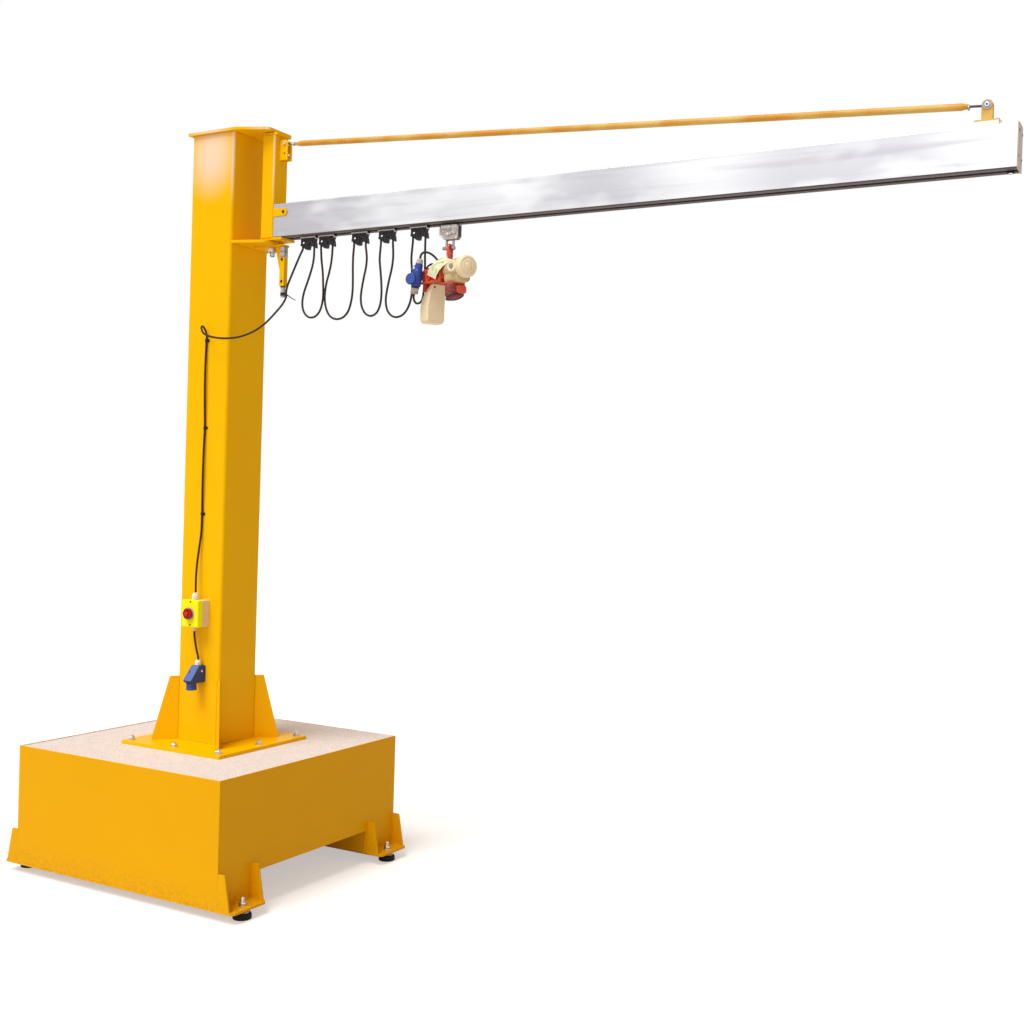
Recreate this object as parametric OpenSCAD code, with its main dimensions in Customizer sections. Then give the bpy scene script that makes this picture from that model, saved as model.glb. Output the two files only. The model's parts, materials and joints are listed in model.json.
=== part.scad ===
// Mobile jib crane on a ballasted base that a pallet truck can lift.
// +X runs along the jib, +Z is up, and the floor is at z = 0 under the middle of the base.

/* [Base] */
// Length of the base along the jib
base_l = 1140; // [1000:10:1500]
// Width of the base across the jib
base_w = 1160; // [1000:10:1500]
// Height of the casing's upper edge above the floor
base_top = 550; // [450:10:700]
// Thickness of the casing sheet
casing_t = 5; // [3:1:8]
// How far the casing's edge stands above the concrete
rim_h = 4; // [1:1:20]
// Height of the fork tunnel's ceiling above the floor
tunnel_top = 150; // [130:5:200]
// Width of each skid box, from the casing's side to the tunnel
skid_w = 210; // [180:5:260]
// Width of each skid plate
skid_plate_w = 200; // [160:5:240]
// Thickness of the skid plates
skid_t = 10; // [6:1:16]
// Height of the skid plates' underside above the floor
skid_z = 40; // [34:1:70]
// How far a skid plate runs past each end of the base
ear_l = 80; // [70:5:120]
// Height of the ribs on the skid plates' ends
rib_h = 140; // [80:5:200]
// Length of a rib at its foot
rib_foot = 60; // [45:1:65]
// Length of a rib at its top
rib_top = 34; // [15:1:40]
// Thickness of a rib
rib_t = 8; // [5:1:12]
// Diameter of a rubber foot
foot_d = 74; // [50:2:100]
// Height of a rubber foot
foot_h = 26; // [15:1:30]
// Diameter of a levelling stud
stud_d = 16; // [12:2:20]
// How far a levelling stud rises over its skid plate
stud_rise = 34; // [22:1:60]

/* [Column] */
// Side of the square base plate
plate_w = 570; // [480:10:700]
// Thickness of the base plate
plate_t = 15; // [10:1:25]
// Outer depth of the column, along the jib
column_l = 240; // [200:5:300]
// Outer width of the column
column_w = 240; // [200:5:300]
// Thickness of the column's folded sheet
column_t = 5; // [4:1:10]
// Outer radius of the column's folds
fold_r = 15; // [8:1:30]
// Height of the column's upper end above the floor
column_top = 3222; // [2800:10:3600]
// Height of the corner gussets
gusset_h = 280; // [150:10:400]
// Reach of a corner gusset at its foot
gusset_foot = 110; // [70:5:140]
// Reach of a corner gusset at its top
gusset_top = 40; // [20:5:60]
// Thickness of a corner gusset
gusset_t = 10; // [6:1:16]

/* [Pivot] */
// Distance from the column's front face to the swing axis
pivot_reach = 130; // [110:5:180]
// Thickness of the head plate and of the bearing plate
nose_t = 12; // [8:1:20]
// Distance from the swing axis to the nose's front edge
nose_edge = 28; // [24:1:70]
// Width of the nose's front edge
nose_w = 170; // [110:5:190]
// Length of the nose that keeps the column's width
nose_shoulder = 14; // [0:1:40]
// How far the head plate stands past the column's sides
head_over = 14; // [0:1:30]
// Radius of the nose's corners
nose_r = 26; // [3:1:40]
// Clear height between the bearing plate and the head plate
pivot_span = 472; // [440:2:700]
// Diameter of the pivot pins
pin_d = 24; // [16:1:36]
// Radial clearance of a pivot pin in the yoke
pin_fit = 0.05; // [0.02:0.01:0.09]
// Thickness of a thrust washer
washer_t = 4; // [2:1:8]
// Thickness of the cable guide's flat bar
guide_t = 8; // [5:1:12]
// Width of the cable guide's flat bar
guide_w = 40; // [32:2:60]
// Distance from the swing axis to the guide tube's centre
guide_reach = 64; // [60:1:100]
// Side of the square guide tube
guide_tube = 24; // [20:1:45]
// Length of the guide tube
guide_tube_l = 150; // [80:5:200]
// Height of the rib between the flat bar and the guide tube
guide_rib_h = 104; // [60:2:140]
// Length of the sleeve below the guide tube
sleeve_l = 68; // [30:1:100]

/* [Jib] */
// Width of the yoke's folded channel
yoke_w = 90; // [70:2:120]
// Depth of the yoke's channel
yoke_l = 64; // [54:2:90]
// Thickness of the yoke's sheet
yoke_t = 5; // [4:1:8]
// Outer radius of the yoke's folds
yoke_fold_r = 9; // [6:1:14]
// Distance from the swing axis to the yoke's front face
yoke_front = 34; // [28:1:50]
// Thickness of the yoke's end plates
yoke_plate_t = 10; // [6:1:16]
// How far the yoke's lower plate carries the beam's end
yoke_toe = 50; // [20:5:80]
// Length of the aluminium beam
beam_l = 3030; // [2400:10:3200]
// Height of the beam
beam_h = 145; // [130:5:180]
// Width of the beam
beam_w = 80; // [70:2:100]
// Thickness of the beam's walls
beam_t = 4; // [3:0.5:6]
// Width of the running slot under the beam
slot_w = 22; // [18:1:28]
// Height of the runner channel inside the beam
runner_h = 42; // [38:1:50]
// Thickness of the beam's end cap
cap_t = 5; // [3:1:10]
// Height of the side lugs
lug_h = 34; // [24:2:44]
// How far the side lugs reach over the beam
lug_l = 58; // [40:2:90]
// Distance from the beam's top to the lugs' centre
lug_drop = 38; // [30:2:60]
// Thickness of the side lugs
lug_t = 5; // [4:1:8]

/* [Tie rod] */
// Diameter of the tie rod's tube
tie_d = 24; // [20:1:40]
// Diameter of the thin rods at the tie rod's ends
tie_end_d = 8; // [8:1:14]
// Length of a cone at the tie rod's ends
tie_cone = 24; // [12:1:40]
// Length of an ear along the jib
ear_plate_l = 46; // [36:2:60]
// Height of an ear
ear_plate_h = 88; // [70:2:110]
// Thickness of an ear
ear_plate_t = 6; // [4:1:10]
// Gap between the two ears
ear_gap = 20; // [14:1:30]
// Distance from the yoke's upper end to the ears' bolt
ear_bolt_drop = 44; // [34:1:60]
// Diameter of the tie rod's bolts
tie_bolt_d = 10; // [8:1:14]
// Distance from the beam's tip to the tip bracket's bolt
tip_reach = 100; // [70:2:160]
// Height of the tip bracket's bolt over the beam
tip_bolt_h = 73; // [60:2:100]
// Width of the tip bracket's lug
tip_lug_w = 36; // [28:2:60]
// Length of the tip bracket's foot
tip_foot_l = 78; // [50:2:120]
// Width of the tip bracket's foot
tip_foot_w = 50; // [40:2:80]
// Thickness of the tip bracket's foot
tip_foot_t = 6; // [4:1:10]
// Height of the pad under the tip bracket
tip_pad_h = 20; // [4:1:24]

/* [Cable trolleys] */
// Length of a cable trolley's body
trolley_l = 76; // [70:2:120]
// Width of a cable trolley's body
trolley_w = 26; // [22:2:50]
// Height of a cable trolley's body
trolley_h = 50; // [30:2:60]
// Gap between the beam's underside and a cable trolley
trolley_gap = 6; // [5:1:12]
// Thickness of a cable trolley's neck in the slot
neck_t = 10; // [6:1:12]
// Diameter of the running wheels
wheel_d = 27; // [20:1:32]
// Width of a running wheel
wheel_w = 9; // [6:1:14]
// Place of cable trolley 1 along the jib, from the swing axis
trolley_1_x = 202; // [190:1:260]
// Place of cable trolley 2
trolley_2_x = 300; // [290:1:360]
// Place of cable trolley 3
trolley_3_x = 474; // [450:1:540]
// Place of cable trolley 4
trolley_4_x = 612; // [590:1:680]
// Place of cable trolley 5
trolley_5_x = 772; // [750:1:840]
// Diameter of the trailing cable
cable_d = 9; // [6:0.5:12]

/* [Hoist] */
// Place of the hoist trolley along the jib, from the swing axis
hoist_x = 920; // [890:1:980]
// Length of the hoist trolley's side plates
carrier_l = 88; // [80:2:140]
// Height of the hoist trolley's plates below the beam
carrier_h = 66; // [50:2:80]
// Outer width of the hoist trolley
carrier_w = 28; // [24:2:60]
// Thickness of the hoist trolley's plates
carrier_t = 4; // [3:1:6]
// How far the hoist is turned about its hook
hoist_turn = -25; // [-60:5:0]
// How far the hoist motor's centre hangs below the beam
hoist_drop = 187; // [170:1:240]
// Diameter of the hoist's motor
motor_d = 88; // [70:2:110]
// Length of the hoist's motor
motor_l = 136; // [100:2:180]
// Length of the hoist's casting
casting_l = 150; // [120:5:190]
// Width of the hoist's casting
casting_w = 86; // [70:2:110]
// Height of the hoist's casting
casting_h = 68; // [60:2:120]
// Height of the cover box
box_h = 152; // [120:2:200]
// Depth of the cover box
box_l = 62; // [50:2:90]
// Width of the cover box
box_w = 76; // [60:2:100]
// Length of the chain bag
bag_l = 68; // [60:2:120]
// Width of the chain bag
bag_w = 72; // [50:2:100]
// Height of the chain bag
bag_h = 78; // [50:2:100]

// Diameter of the coupler in the hoist's cable
coupler_d = 44; // [36:1:60]
// Length of the coupler
coupler_h = 144; // [120:2:180]
// How far the coupler leans along the jib
coupler_lean = 10; // [0:1:20]

/* [Power] */
// Height of the switch box's centre above the floor
switch_z = 1130; // [900:10:1400]
// Width of the switch box
switch_w = 96; // [80:2:130]
// Height of the switch box
switch_h = 118; // [90:2:150]
// Depth of the switch box
switch_d = 70; // [50:2:100]
// Diameter of the switch knob
knob_d = 50; // [30:1:55]
// Height of the wall inlet's upper end above the floor
inlet_z = 902; // [800:2:980]
// Width of the wall inlet
inlet_w = 46; // [40:2:100]
// Height of the wall inlet's body
inlet_h = 74; // [60:2:110]
// Depth of the wall inlet's body at its upper end
inlet_top_d = 38; // [30:1:60]
// Depth of the wall inlet's body at its lower end
inlet_d = 88; // [60:2:100]

/* [Hidden] */
$fn = 48;

eps = 0.01;
paint = "gold";
// Running clearance between a curved face and a flat one
run_gap = 0.3;

// Base
half_l = base_l / 2;
half_w = base_w / 2;
wall_z = skid_z + skid_t;
concrete_top = base_top - rim_h;
tunnel_half = half_w - skid_w;
foot_x = half_l + ear_l / 2;
foot_y = half_w - skid_plate_w / 2;
nut_h = 13;
nut_d = 27;
stud_clear = 1;

// Column
column_z = concrete_top + plate_t;
half_cl = column_l / 2;
half_cw = column_w / 2;

// Pivot: the yoke turns between the bearing plate and the head plate
pivot_x = half_cl + pivot_reach;
nose_x = pivot_x + nose_edge;
bearing_top = column_top - pivot_span;
bearing_z = bearing_top - nose_t;
yoke_bottom = bearing_top + washer_t;
beam_z = yoke_bottom + yoke_plate_t;
yoke_top = column_top - washer_t;
web_x = pivot_x + yoke_front;
channel_z = yoke_bottom + yoke_plate_t;
channel_top = yoke_top - yoke_plate_t;
pin_head_d = 34;
washer_d = 50;
bore_d = pin_d + 2 * pin_fit;

// Beam
beam_x = web_x;
beam_end = beam_x + beam_l;
beam_top = beam_z + beam_h;
beam_half = beam_w / 2;
lug_z = beam_top - lug_drop;

// Tie rod
ear_bolt_x = web_x + ear_plate_l - 16;
ear_bolt_z = yoke_top - ear_bolt_drop;
tip_bolt_x = beam_end - tip_reach;
tip_bolt_z = beam_top + tip_bolt_h;
tie_run = tip_bolt_x - ear_bolt_x;
tie_fall = ear_bolt_z - tip_bolt_z;
tie_len = sqrt(tie_run * tie_run + tie_fall * tie_fall);
tie_slope = atan2(tie_fall, tie_run);
tie_start = 52;
tie_stop = tie_len - 58;

// Cable trolleys and hoist
trolley_z = beam_z - trolley_gap;
wheel_z = beam_z + beam_t + run_gap + wheel_d / 2;
wheel_y = slot_w / 2 + 2 + wheel_w / 2;
axle_d = 8;
cable_r = cable_d / 2;
// Where the cable enters and leaves a cable trolley, from the trolley's middle
exit_in = -33;
exit_out = 28;
saddle_in = 34;
saddle_out = 38;
hoist_px = pivot_x + hoist_x;
hoist_z = beam_z - hoist_drop;

// Power
face_y = -half_cw;

// ---------------------------------------------------------------- base

module side_walls() {
    color(paint)
    for (side = [-1, 1])
        translate([-half_l, side * (half_w - casing_t / 2) - casing_t / 2, wall_z])
            cube([base_l, casing_t, base_top - wall_z]);
}

// Outline of an end wall, with the fork tunnel's mouth cut out
module end_outline(half, top) {
    polygon([[-half, wall_z], [-tunnel_half, wall_z], [-tunnel_half, tunnel_top],
             [tunnel_half, tunnel_top], [tunnel_half, wall_z], [half, wall_z],
             [half, top], [-half, top]]);
}

module end_walls() {
    color(paint)
    for (x = [-half_l, half_l - casing_t])
        translate([x, 0, 0]) rotate([90, 0, 90])
            linear_extrude(casing_t) end_outline(half_w - casing_t, base_top);
}

module tunnel_lining() {
    inner = half_l - casing_t;
    color(paint) {
        translate([-inner, -tunnel_half - casing_t, tunnel_top])
            cube([2 * inner, 2 * (tunnel_half + casing_t), casing_t]);
        for (side = [-1, 1])
            translate([-inner, side * (tunnel_half + casing_t / 2) - casing_t / 2, wall_z])
                cube([2 * inner, casing_t, tunnel_top - wall_z]);
    }
}

module counterweight() {
    inner = half_l - casing_t;
    out = half_w - casing_t;
    leg = tunnel_half + casing_t;
    color("lightgray")
    translate([-inner, 0, 0]) rotate([90, 0, 90]) linear_extrude(2 * inner)
        polygon([[-out, wall_z], [-leg, wall_z], [-leg, tunnel_top + casing_t],
                 [leg, tunnel_top + casing_t], [leg, wall_z], [out, wall_z],
                 [out, concrete_top], [-out, concrete_top]]);
}

module skid_plate() {
    clip = 14;
    reach = half_l + ear_l;
    w = skid_plate_w / 2;
    difference() {
        linear_extrude(skid_t)
            polygon([[-reach, -w + clip], [-reach + clip, -w], [reach - clip, -w],
                     [reach, -w + clip], [reach, w - clip], [reach - clip, w],
                     [-reach + clip, w], [-reach, w - clip]]);
        for (x = [-foot_x, foot_x]) translate([x, 0, -1])
            cylinder(d = stud_d + 2 * stud_clear, h = skid_t + 2);
    }
}

module rib() {
    rotate([90, 0, 0]) translate([0, 0, -rib_t / 2]) linear_extrude(rib_t)
        polygon([[0, -eps], [rib_foot, -eps], [rib_foot, rib_t], [rib_top, rib_h], [0, rib_h]]);
}

// The two floor plates of the skids, with ribs on the ends that carry the feet
module skids() {
    color(paint)
    for (side = [-1, 1]) {
        translate([0, side * foot_y, skid_z]) skid_plate();
        for (end = [0, 180], edge = [-1, 1])
            translate([0, side * foot_y + edge * (skid_plate_w - rib_t) / 2, wall_z])
                rotate([0, 0, end]) translate([half_l, 0, 0]) rib();
    }
}

module at_feet() {
    for (x = [-foot_x, foot_x], y = [-foot_y, foot_y]) translate([x, y, 0]) children();
}

module foot_studs() {
    cup_h = skid_z - foot_h;
    color("silver")
    at_feet() {
        translate([0, 0, foot_h]) cylinder(d1 = foot_d - 18, d2 = nut_d, h = cup_h);
        translate([0, 0, foot_h + cup_h - eps]) cylinder(d = stud_d, h = skid_t + stud_rise);
        translate([0, 0, wall_z]) cylinder(d = nut_d, h = nut_h, $fn = 6);
    }
}

module rubber_feet() {
    color("dimgray")
    at_feet() rotate_extrude()
        polygon([[0, 0], [foot_d / 2 - 2, 0], [foot_d / 2, 2], [foot_d / 2, foot_h - 8],
                 [foot_d / 2 - 6, foot_h], [0, foot_h]]);
}

// -------------------------------------------------------------- column

// A rounded rectangle from straight sides and true arcs
module folded(l, w, r) {
    union() {
        square([l, w - 2 * r], center = true);
        square([l - 2 * r, w], center = true);
        for (x = [-1, 1], y = [-1, 1]) translate([x * (l / 2 - r), y * (w / 2 - r)]) circle(r);
    }
}

module base_plate() {
    color(paint)
    translate([0, 0, concrete_top]) linear_extrude(plate_t) folded(plate_w, plate_w, 8);
}

module corner_gussets() {
    // Distance from the column's axis to a rounded corner
    fold = fold_r;
    color(paint)
    difference() {
        for (x = [-1, 1], y = [-1, 1])
            translate([x * (half_cl - fold), y * (half_cw - fold), column_z])
                rotate([0, 0, atan2(y, x)]) rotate([90, 0, 0])
                    translate([0, 0, -gusset_t / 2]) linear_extrude(gusset_t)
                        polygon([[0, 0], [fold + gusset_foot, 0], [fold + gusset_foot, gusset_t],
                                 [fold + gusset_top, gusset_h], [0, gusset_h]]);
        translate([0, 0, column_z - 1]) linear_extrude(gusset_h + 2)
            folded(column_l, column_w, fold_r);
    }
}

module column() {
    color(paint)
    translate([0, 0, column_z]) linear_extrude(column_top - column_z)
        difference() {
            folded(column_l, column_w, fold_r);
            folded(column_l - 2 * column_t, column_w - 2 * column_t, fold_r - column_t);
        }
}

// Outline of the plates that hold the yoke: the column's width, then a tapered nose
module nose_outline(rear, half) {
    shoulder = half_cl + nose_shoulder;
    tip = nose_x - nose_r;
    difference() {
        union() {
            polygon([[rear, -half], [shoulder, -half], [tip, -nose_w / 2],
                     [nose_x, -nose_w / 2 + nose_r], [nose_x, nose_w / 2 - nose_r],
                     [tip, nose_w / 2], [shoulder, half], [rear, half]]);
            for (y = [-1, 1]) translate([tip, y * (nose_w / 2 - nose_r)]) circle(nose_r);
        }
        translate([pivot_x, 0]) circle(d = pin_d);
    }
}

// The head plate closes the column, and the bearing plate stands on its front face
module nose_plates() {
    color(paint) {
        translate([0, 0, column_top]) linear_extrude(nose_t)
            nose_outline(-half_cl - head_over, half_cw + head_over);
        translate([0, 0, bearing_z]) linear_extrude(nose_t) nose_outline(half_cl, half_cw);
    }
}

// One pin in its plate: threaded tail, head, shank, and the thrust washer that the yoke runs on
module pivot_pin(grip, head, tail) {
    reach = nose_t + washer_t + yoke_plate_t + 6;
    rotate_extrude()
        polygon([[0, -grip - head - tail], [pin_d / 2 - 1, -grip - head - tail],
                 [pin_d / 2 - 1, -grip - head], [pin_head_d / 2, -grip - head],
                 [pin_head_d / 2, -grip], [pin_d / 2, -grip], [pin_d / 2, nose_t],
                 [washer_d / 2, nose_t], [washer_d / 2, nose_t + washer_t],
                 [pin_d / 2, nose_t + washer_t], [pin_d / 2, reach - 2],
                 [pin_d / 2 - 2, reach], [0, reach]]);
}

module pivot_pins() {
    color("silver") {
        translate([pivot_x, 0, bearing_z]) pivot_pin(guide_t, 20, 18);
        translate([pivot_x, 0, column_top + nose_t]) mirror([0, 0, 1]) pivot_pin(0, 4, 2);
    }
}

tube_x = pivot_x + guide_reach;
tube_z = bearing_z - guide_t - guide_tube_l;
sleeve_z = tube_z - sleeve_l;
sleeve_d = guide_tube - 4;

module cable_guide() {
    hollow = guide_tube - 6;
    bar_x = half_cl + 40;
    tube_left = tube_x - guide_tube / 2;
    color(paint)
    difference() {
        union() {
            translate([bar_x, -guide_w / 2, bearing_z - guide_t])
                cube([tube_x - bar_x + guide_tube / 2, guide_w, guide_t]);
            translate([tube_left, -guide_tube / 2, tube_z])
                cube([guide_tube, guide_tube, guide_tube_l + eps]);
            translate([0, guide_t / 2, 0]) rotate([90, 0, 0]) linear_extrude(guide_t)
                polygon([[pivot_x + pin_head_d / 2 + 2, bearing_z - guide_t + eps],
                         [tube_left + eps, bearing_z - guide_t + eps],
                         [tube_left + eps, bearing_z - guide_t - guide_rib_h],
                         [tube_left - 6, bearing_z - guide_t - guide_rib_h]]);
        }
        translate([pivot_x, 0, bearing_z - guide_t - 1]) cylinder(d = pin_d, h = guide_t + 2);
        translate([tube_x - hollow / 2, -hollow / 2, tube_z - 1])
            cube([hollow, hollow, guide_tube_l + 1]);
    }
    // The sleeve hangs from a square plug in the tube's lower end
    color("gray") {
        translate([tube_x - hollow / 2, -hollow / 2, tube_z]) cube([hollow, hollow, 14]);
        translate([tube_x, 0, sleeve_z]) cylinder(d = sleeve_d, h = sleeve_l + eps);
    }
}

// --------------------------------------------------------------- yoke

module channel_outline() {
    back = web_x - yoke_l;
    mid = (web_x + back) / 2;
    difference() {
        translate([mid, 0]) folded(yoke_l, yoke_w, yoke_fold_r);
        translate([mid, 0]) folded(yoke_l - 2 * yoke_t, yoke_w - 2 * yoke_t, yoke_fold_r - yoke_t);
        translate([back - 1, -yoke_w / 2 - 1]) square([yoke_t + yoke_fold_r + 1, yoke_w + 2]);
    }
    for (y = [-1, 1])
        translate([back, y * (yoke_w - yoke_t) / 2 - yoke_t / 2])
            square([yoke_l / 2, yoke_t]);
}

module yoke() {
    back = web_x - yoke_l;
    color(paint)
    difference() {
        union() {
            translate([0, 0, channel_z]) linear_extrude(channel_top - channel_z)
                channel_outline();
            translate([back, -yoke_w / 2, yoke_bottom])
                cube([yoke_l + yoke_toe, yoke_w, yoke_plate_t]);
            translate([back, -yoke_w / 2, channel_top])
                cube([yoke_l + 12, yoke_w, yoke_plate_t]);
        }
        for (z = [yoke_bottom, channel_top])
            translate([pivot_x, 0, z - 1]) cylinder(d = bore_d, h = yoke_plate_t + 2);
    }
}

// The ears that hold the tie rod and the straps that hold the beam's end
module yoke_lugs() {
    ear_r = 16;
    ear_low = ear_bolt_z + ear_r - ear_plate_h;
    spare_z = ear_bolt_z - 44;
    color(paint) {
        for (side = [-1, 1])
            translate([0, side * (ear_gap + ear_plate_t) / 2 + ear_plate_t / 2, 0])
                rotate([90, 0, 0]) linear_extrude(ear_plate_t)
                    difference() {
                        union() {
                            translate([web_x, ear_low])
                                square([ear_plate_l, ear_bolt_z - ear_low]);
                            translate([web_x, ear_bolt_z - eps])
                                square([ear_plate_l - ear_r, ear_r + eps]);
                            translate([ear_bolt_x, ear_bolt_z]) circle(ear_r);
                        }
                        translate([ear_bolt_x, ear_bolt_z]) circle(d = tie_bolt_d);
                        translate([ear_bolt_x, spare_z]) circle(d = tie_bolt_d);
                    }
        for (side = [-1, 1])
            translate([0, side * (yoke_w / 2 - lug_t / 2) + lug_t / 2, 0])
                rotate([90, 0, 0]) linear_extrude(lug_t) {
                    translate([web_x, lug_z - lug_h / 2]) square([lug_l, lug_h]);
                    translate([web_x + lug_l, lug_z]) circle(lug_h / 2);
                }
    }
}

// --------------------------------------------------------------- beam

module beam_outline() {
    channel_w = beam_w - 2 * beam_t;
    difference() {
        translate([0, beam_h / 2]) folded(beam_w, beam_h, 5);
        translate([-channel_w / 2, beam_t]) square([channel_w, runner_h]);
        translate([-slot_w / 2, -1]) square([slot_w, beam_t + 2]);
        translate([-channel_w / 2, 2 * beam_t + runner_h])
            square([channel_w, beam_h - 3 * beam_t - runner_h]);
    }
}

module jib_beam() {
    color("lightsteelblue")
    translate([beam_x, 0, beam_z]) rotate([90, 0, 90]) linear_extrude(beam_l) beam_outline();
}

// The cap with the buffer that stops the hoist trolley
module beam_end_cap() {
    buffer_d = 18;
    buffer_x = beam_end - 23;
    color("gray") {
        translate([beam_end, 0, beam_z + beam_h / 2]) rotate([90, 0, 90])
            linear_extrude(cap_t) folded(beam_w + 2, beam_h + 4, 4);
        translate([buffer_x, 0, beam_z - 8]) cylinder(d = buffer_d, h = 8 + beam_t + 20);
        translate([buffer_x, 0, beam_z + beam_t + 12]) rotate([0, 90, 0])
            cylinder(d = 10, h = beam_end - buffer_x + eps);
    }
}

module tip_bracket() {
    lug_t2 = 8;
    foot_z = beam_top + tip_pad_h;
    color("silver")
    translate([tip_bolt_x - 24, -22, beam_top]) cube([48, 44, tip_pad_h]);
    color(paint) {
        translate([tip_bolt_x - tip_foot_l / 2, -tip_foot_w / 2, foot_z])
            cube([tip_foot_l, tip_foot_w, tip_foot_t]);
        for (side = [-1, 1])
            translate([0, side * (tie_end_d + 2 + lug_t2) / 2 + lug_t2 / 2, 0])
                rotate([90, 0, 0]) linear_extrude(lug_t2)
                    difference() {
                        union() {
                            translate([tip_bolt_x - tip_lug_w / 2, foot_z + tip_foot_t - eps])
                                square([tip_lug_w, tip_bolt_z - foot_z - tip_foot_t + eps]);
                            translate([tip_bolt_x, tip_bolt_z]) circle(d = tip_lug_w);
                        }
                        translate([tip_bolt_x, tip_bolt_z]) circle(d = tie_bolt_d);
                    }
    }
}

// Places its children on the tie rod's line, with +X from the ears' bolt to the tip bracket's bolt
module along_tie() {
    translate([ear_bolt_x, 0, ear_bolt_z]) rotate([0, tie_slope, 0]) children();
}

module tie_rod() {
    tube = tie_stop - tie_start;
    color(paint)
    along_tie() translate([tie_start, 0, 0]) rotate([0, 90, 0]) rotate_extrude()
        polygon([[0, 0], [tie_end_d / 2 + 3, 0], [tie_d / 2, tie_cone],
                 [tie_d / 2, tube - tie_cone], [tie_end_d / 2 + 3, tube], [0, tube]]);
}

module tie_rod_ends() {
    head_t = 5;
    eye_t = tie_end_d;
    color("silver") {
        along_tie() {
            difference() {
                union() {
                    translate([0, eye_t / 2, 0]) rotate([90, 0, 0]) cylinder(d = 24, h = eye_t);
                    rotate([0, 90, 0]) cylinder(d = tie_end_d, h = tie_start);
                }
                translate([0, eye_t, 0]) rotate([90, 0, 0])
                    cylinder(d = tie_bolt_d + 0.1, h = 2 * eye_t);
            }
            translate([tie_start - 14, 0, 0]) rotate([0, 90, 0])
                cylinder(d = 19, h = 8, $fn = 6);
            difference() {
                union() {
                    translate([tie_len, eye_t / 2, 0]) rotate([90, 0, 0])
                        cylinder(d = 24, h = eye_t);
                    translate([tie_stop, 0, 0]) rotate([0, 90, 0])
                        cylinder(d = tie_end_d, h = tie_len - tie_stop);
                }
                translate([tie_len, eye_t, 0]) rotate([90, 0, 0])
                    cylinder(d = tie_bolt_d + 0.1, h = 2 * eye_t);
            }
        }
        for (p = [[ear_bolt_x, ear_bolt_z, ear_gap + 2 * ear_plate_t],
                  [tip_bolt_x, tip_bolt_z, tie_end_d + 18]])
            translate([p[0], p[2] / 2 + head_t, p[1]]) rotate([90, 0, 0]) {
                cylinder(d = tie_bolt_d, h = p[2] + 2 * head_t);
                cylinder(d = 17, h = head_t, $fn = 6);
                translate([0, 0, p[2] + head_t]) cylinder(d = 17, h = head_t, $fn = 6);
            }
    }
}

// ----------------------------------------------------- trolleys on the beam

// Wheels on both sides of a neck that hangs through the slot
module runners(spread, neck_l, foot_z) {
    for (dx = [-spread / 2, spread / 2]) {
        translate([dx, wheel_y + wheel_w / 2, wheel_z]) rotate([90, 0, 0])
            cylinder(d = axle_d, h = 2 * wheel_y + wheel_w);
        for (side = [-1, 1])
            translate([dx, side * wheel_y + wheel_w / 2, wheel_z]) rotate([90, 0, 0])
                cylinder(d = wheel_d, h = wheel_w);
    }
    translate([-neck_l / 2, -neck_t / 2, foot_z])
        cube([neck_l, neck_t, wheel_z + axle_d / 2 + 3 - foot_z]);
}

// Body of a cable trolley: a moulded clamp with a stepped lower edge, whose two flat
// saddles let the cable in and out
module trolley_outline() {
    l = trolley_l / 2;
    polygon([[-l + 3, 0], [l - 5, 0], [l, -6], [l - 4, -18], [l, -26], [l - 2, -saddle_out],
             [exit_out - 10, -saddle_out], [exit_out - 13, -24], [exit_out - 22, -22],
             [exit_out - 27, -trolley_h], [exit_in + 22, -trolley_h], [exit_in + 9, -saddle_in],
             [-l, -saddle_in], [-l, -4]]);
}

module cable_trolley(place) {
    translate([pivot_x + place, 0, 0]) {
        color("dimgray")
        translate([0, trolley_w / 2, trolley_z]) rotate([90, 0, 0])
            linear_extrude(trolley_w) trolley_outline();
        color("silver")
        runners(trolley_l * 0.55, trolley_l * 0.8, trolley_z - eps);
    }
}

module cable_trolley_1() { cable_trolley(trolley_1_x); }
module cable_trolley_2() { cable_trolley(trolley_2_x); }
module cable_trolley_3() { cable_trolley(trolley_3_x); }
module cable_trolley_4() { cable_trolley(trolley_4_x); }
module cable_trolley_5() { cable_trolley(trolley_5_x); }

module hoist_trolley() {
    low = beam_z - carrier_h;
    l = carrier_l / 2;
    color("silver")
    translate([hoist_px, 0, 0]) {
        runners(carrier_l * 0.6, carrier_l * 0.8, beam_z - 14);
        for (side = [-1, 1])
            translate([0, side * (carrier_w - carrier_t) / 2 + carrier_t / 2, 0])
                rotate([90, 0, 0]) linear_extrude(carrier_t)
                    difference() {
                        polygon([[-l, beam_z - 8], [l, beam_z - 8], [l, low + 12], [l - 10, low],
                                 [-l + 22, low], [-l, low + 18]]);
                        for (x = [-30, 22, 36]) translate([x, low + 30]) circle(d = 9);
                    }
        translate([-l, -carrier_w / 2 + carrier_t - eps, beam_z - 8 - carrier_t])
            cube([carrier_l, carrier_w - 2 * carrier_t + 2 * eps, carrier_t]);
        translate([0, carrier_w / 2, hook_pin_z]) rotate([90, 0, 0])
            cylinder(d = hook_pin_d, h = carrier_w);
    }
}

// --------------------------------------------------------------- hoist

hook_pin_d = 12;
hook_pin_z = beam_z - carrier_h + 16;
casting_z = hoist_z - 47;
casting_top = casting_z + casting_h;

// Where the motor starts, past the hook
motor_u = 10;

// Places its children at the hoist: +X towards the motor's cap, z = 0 at the motor's centre
module at_hoist() {
    translate([hoist_px, 0, hoist_z]) rotate([0, 0, hoist_turn]) children();
}

// A slot with round ends, from z = low to z = high
module slot(r, low, high) {
    translate([-r, low]) square([2 * r, high - low]);
    for (z = [low, high]) translate([0, z]) circle(r);
}

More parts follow.
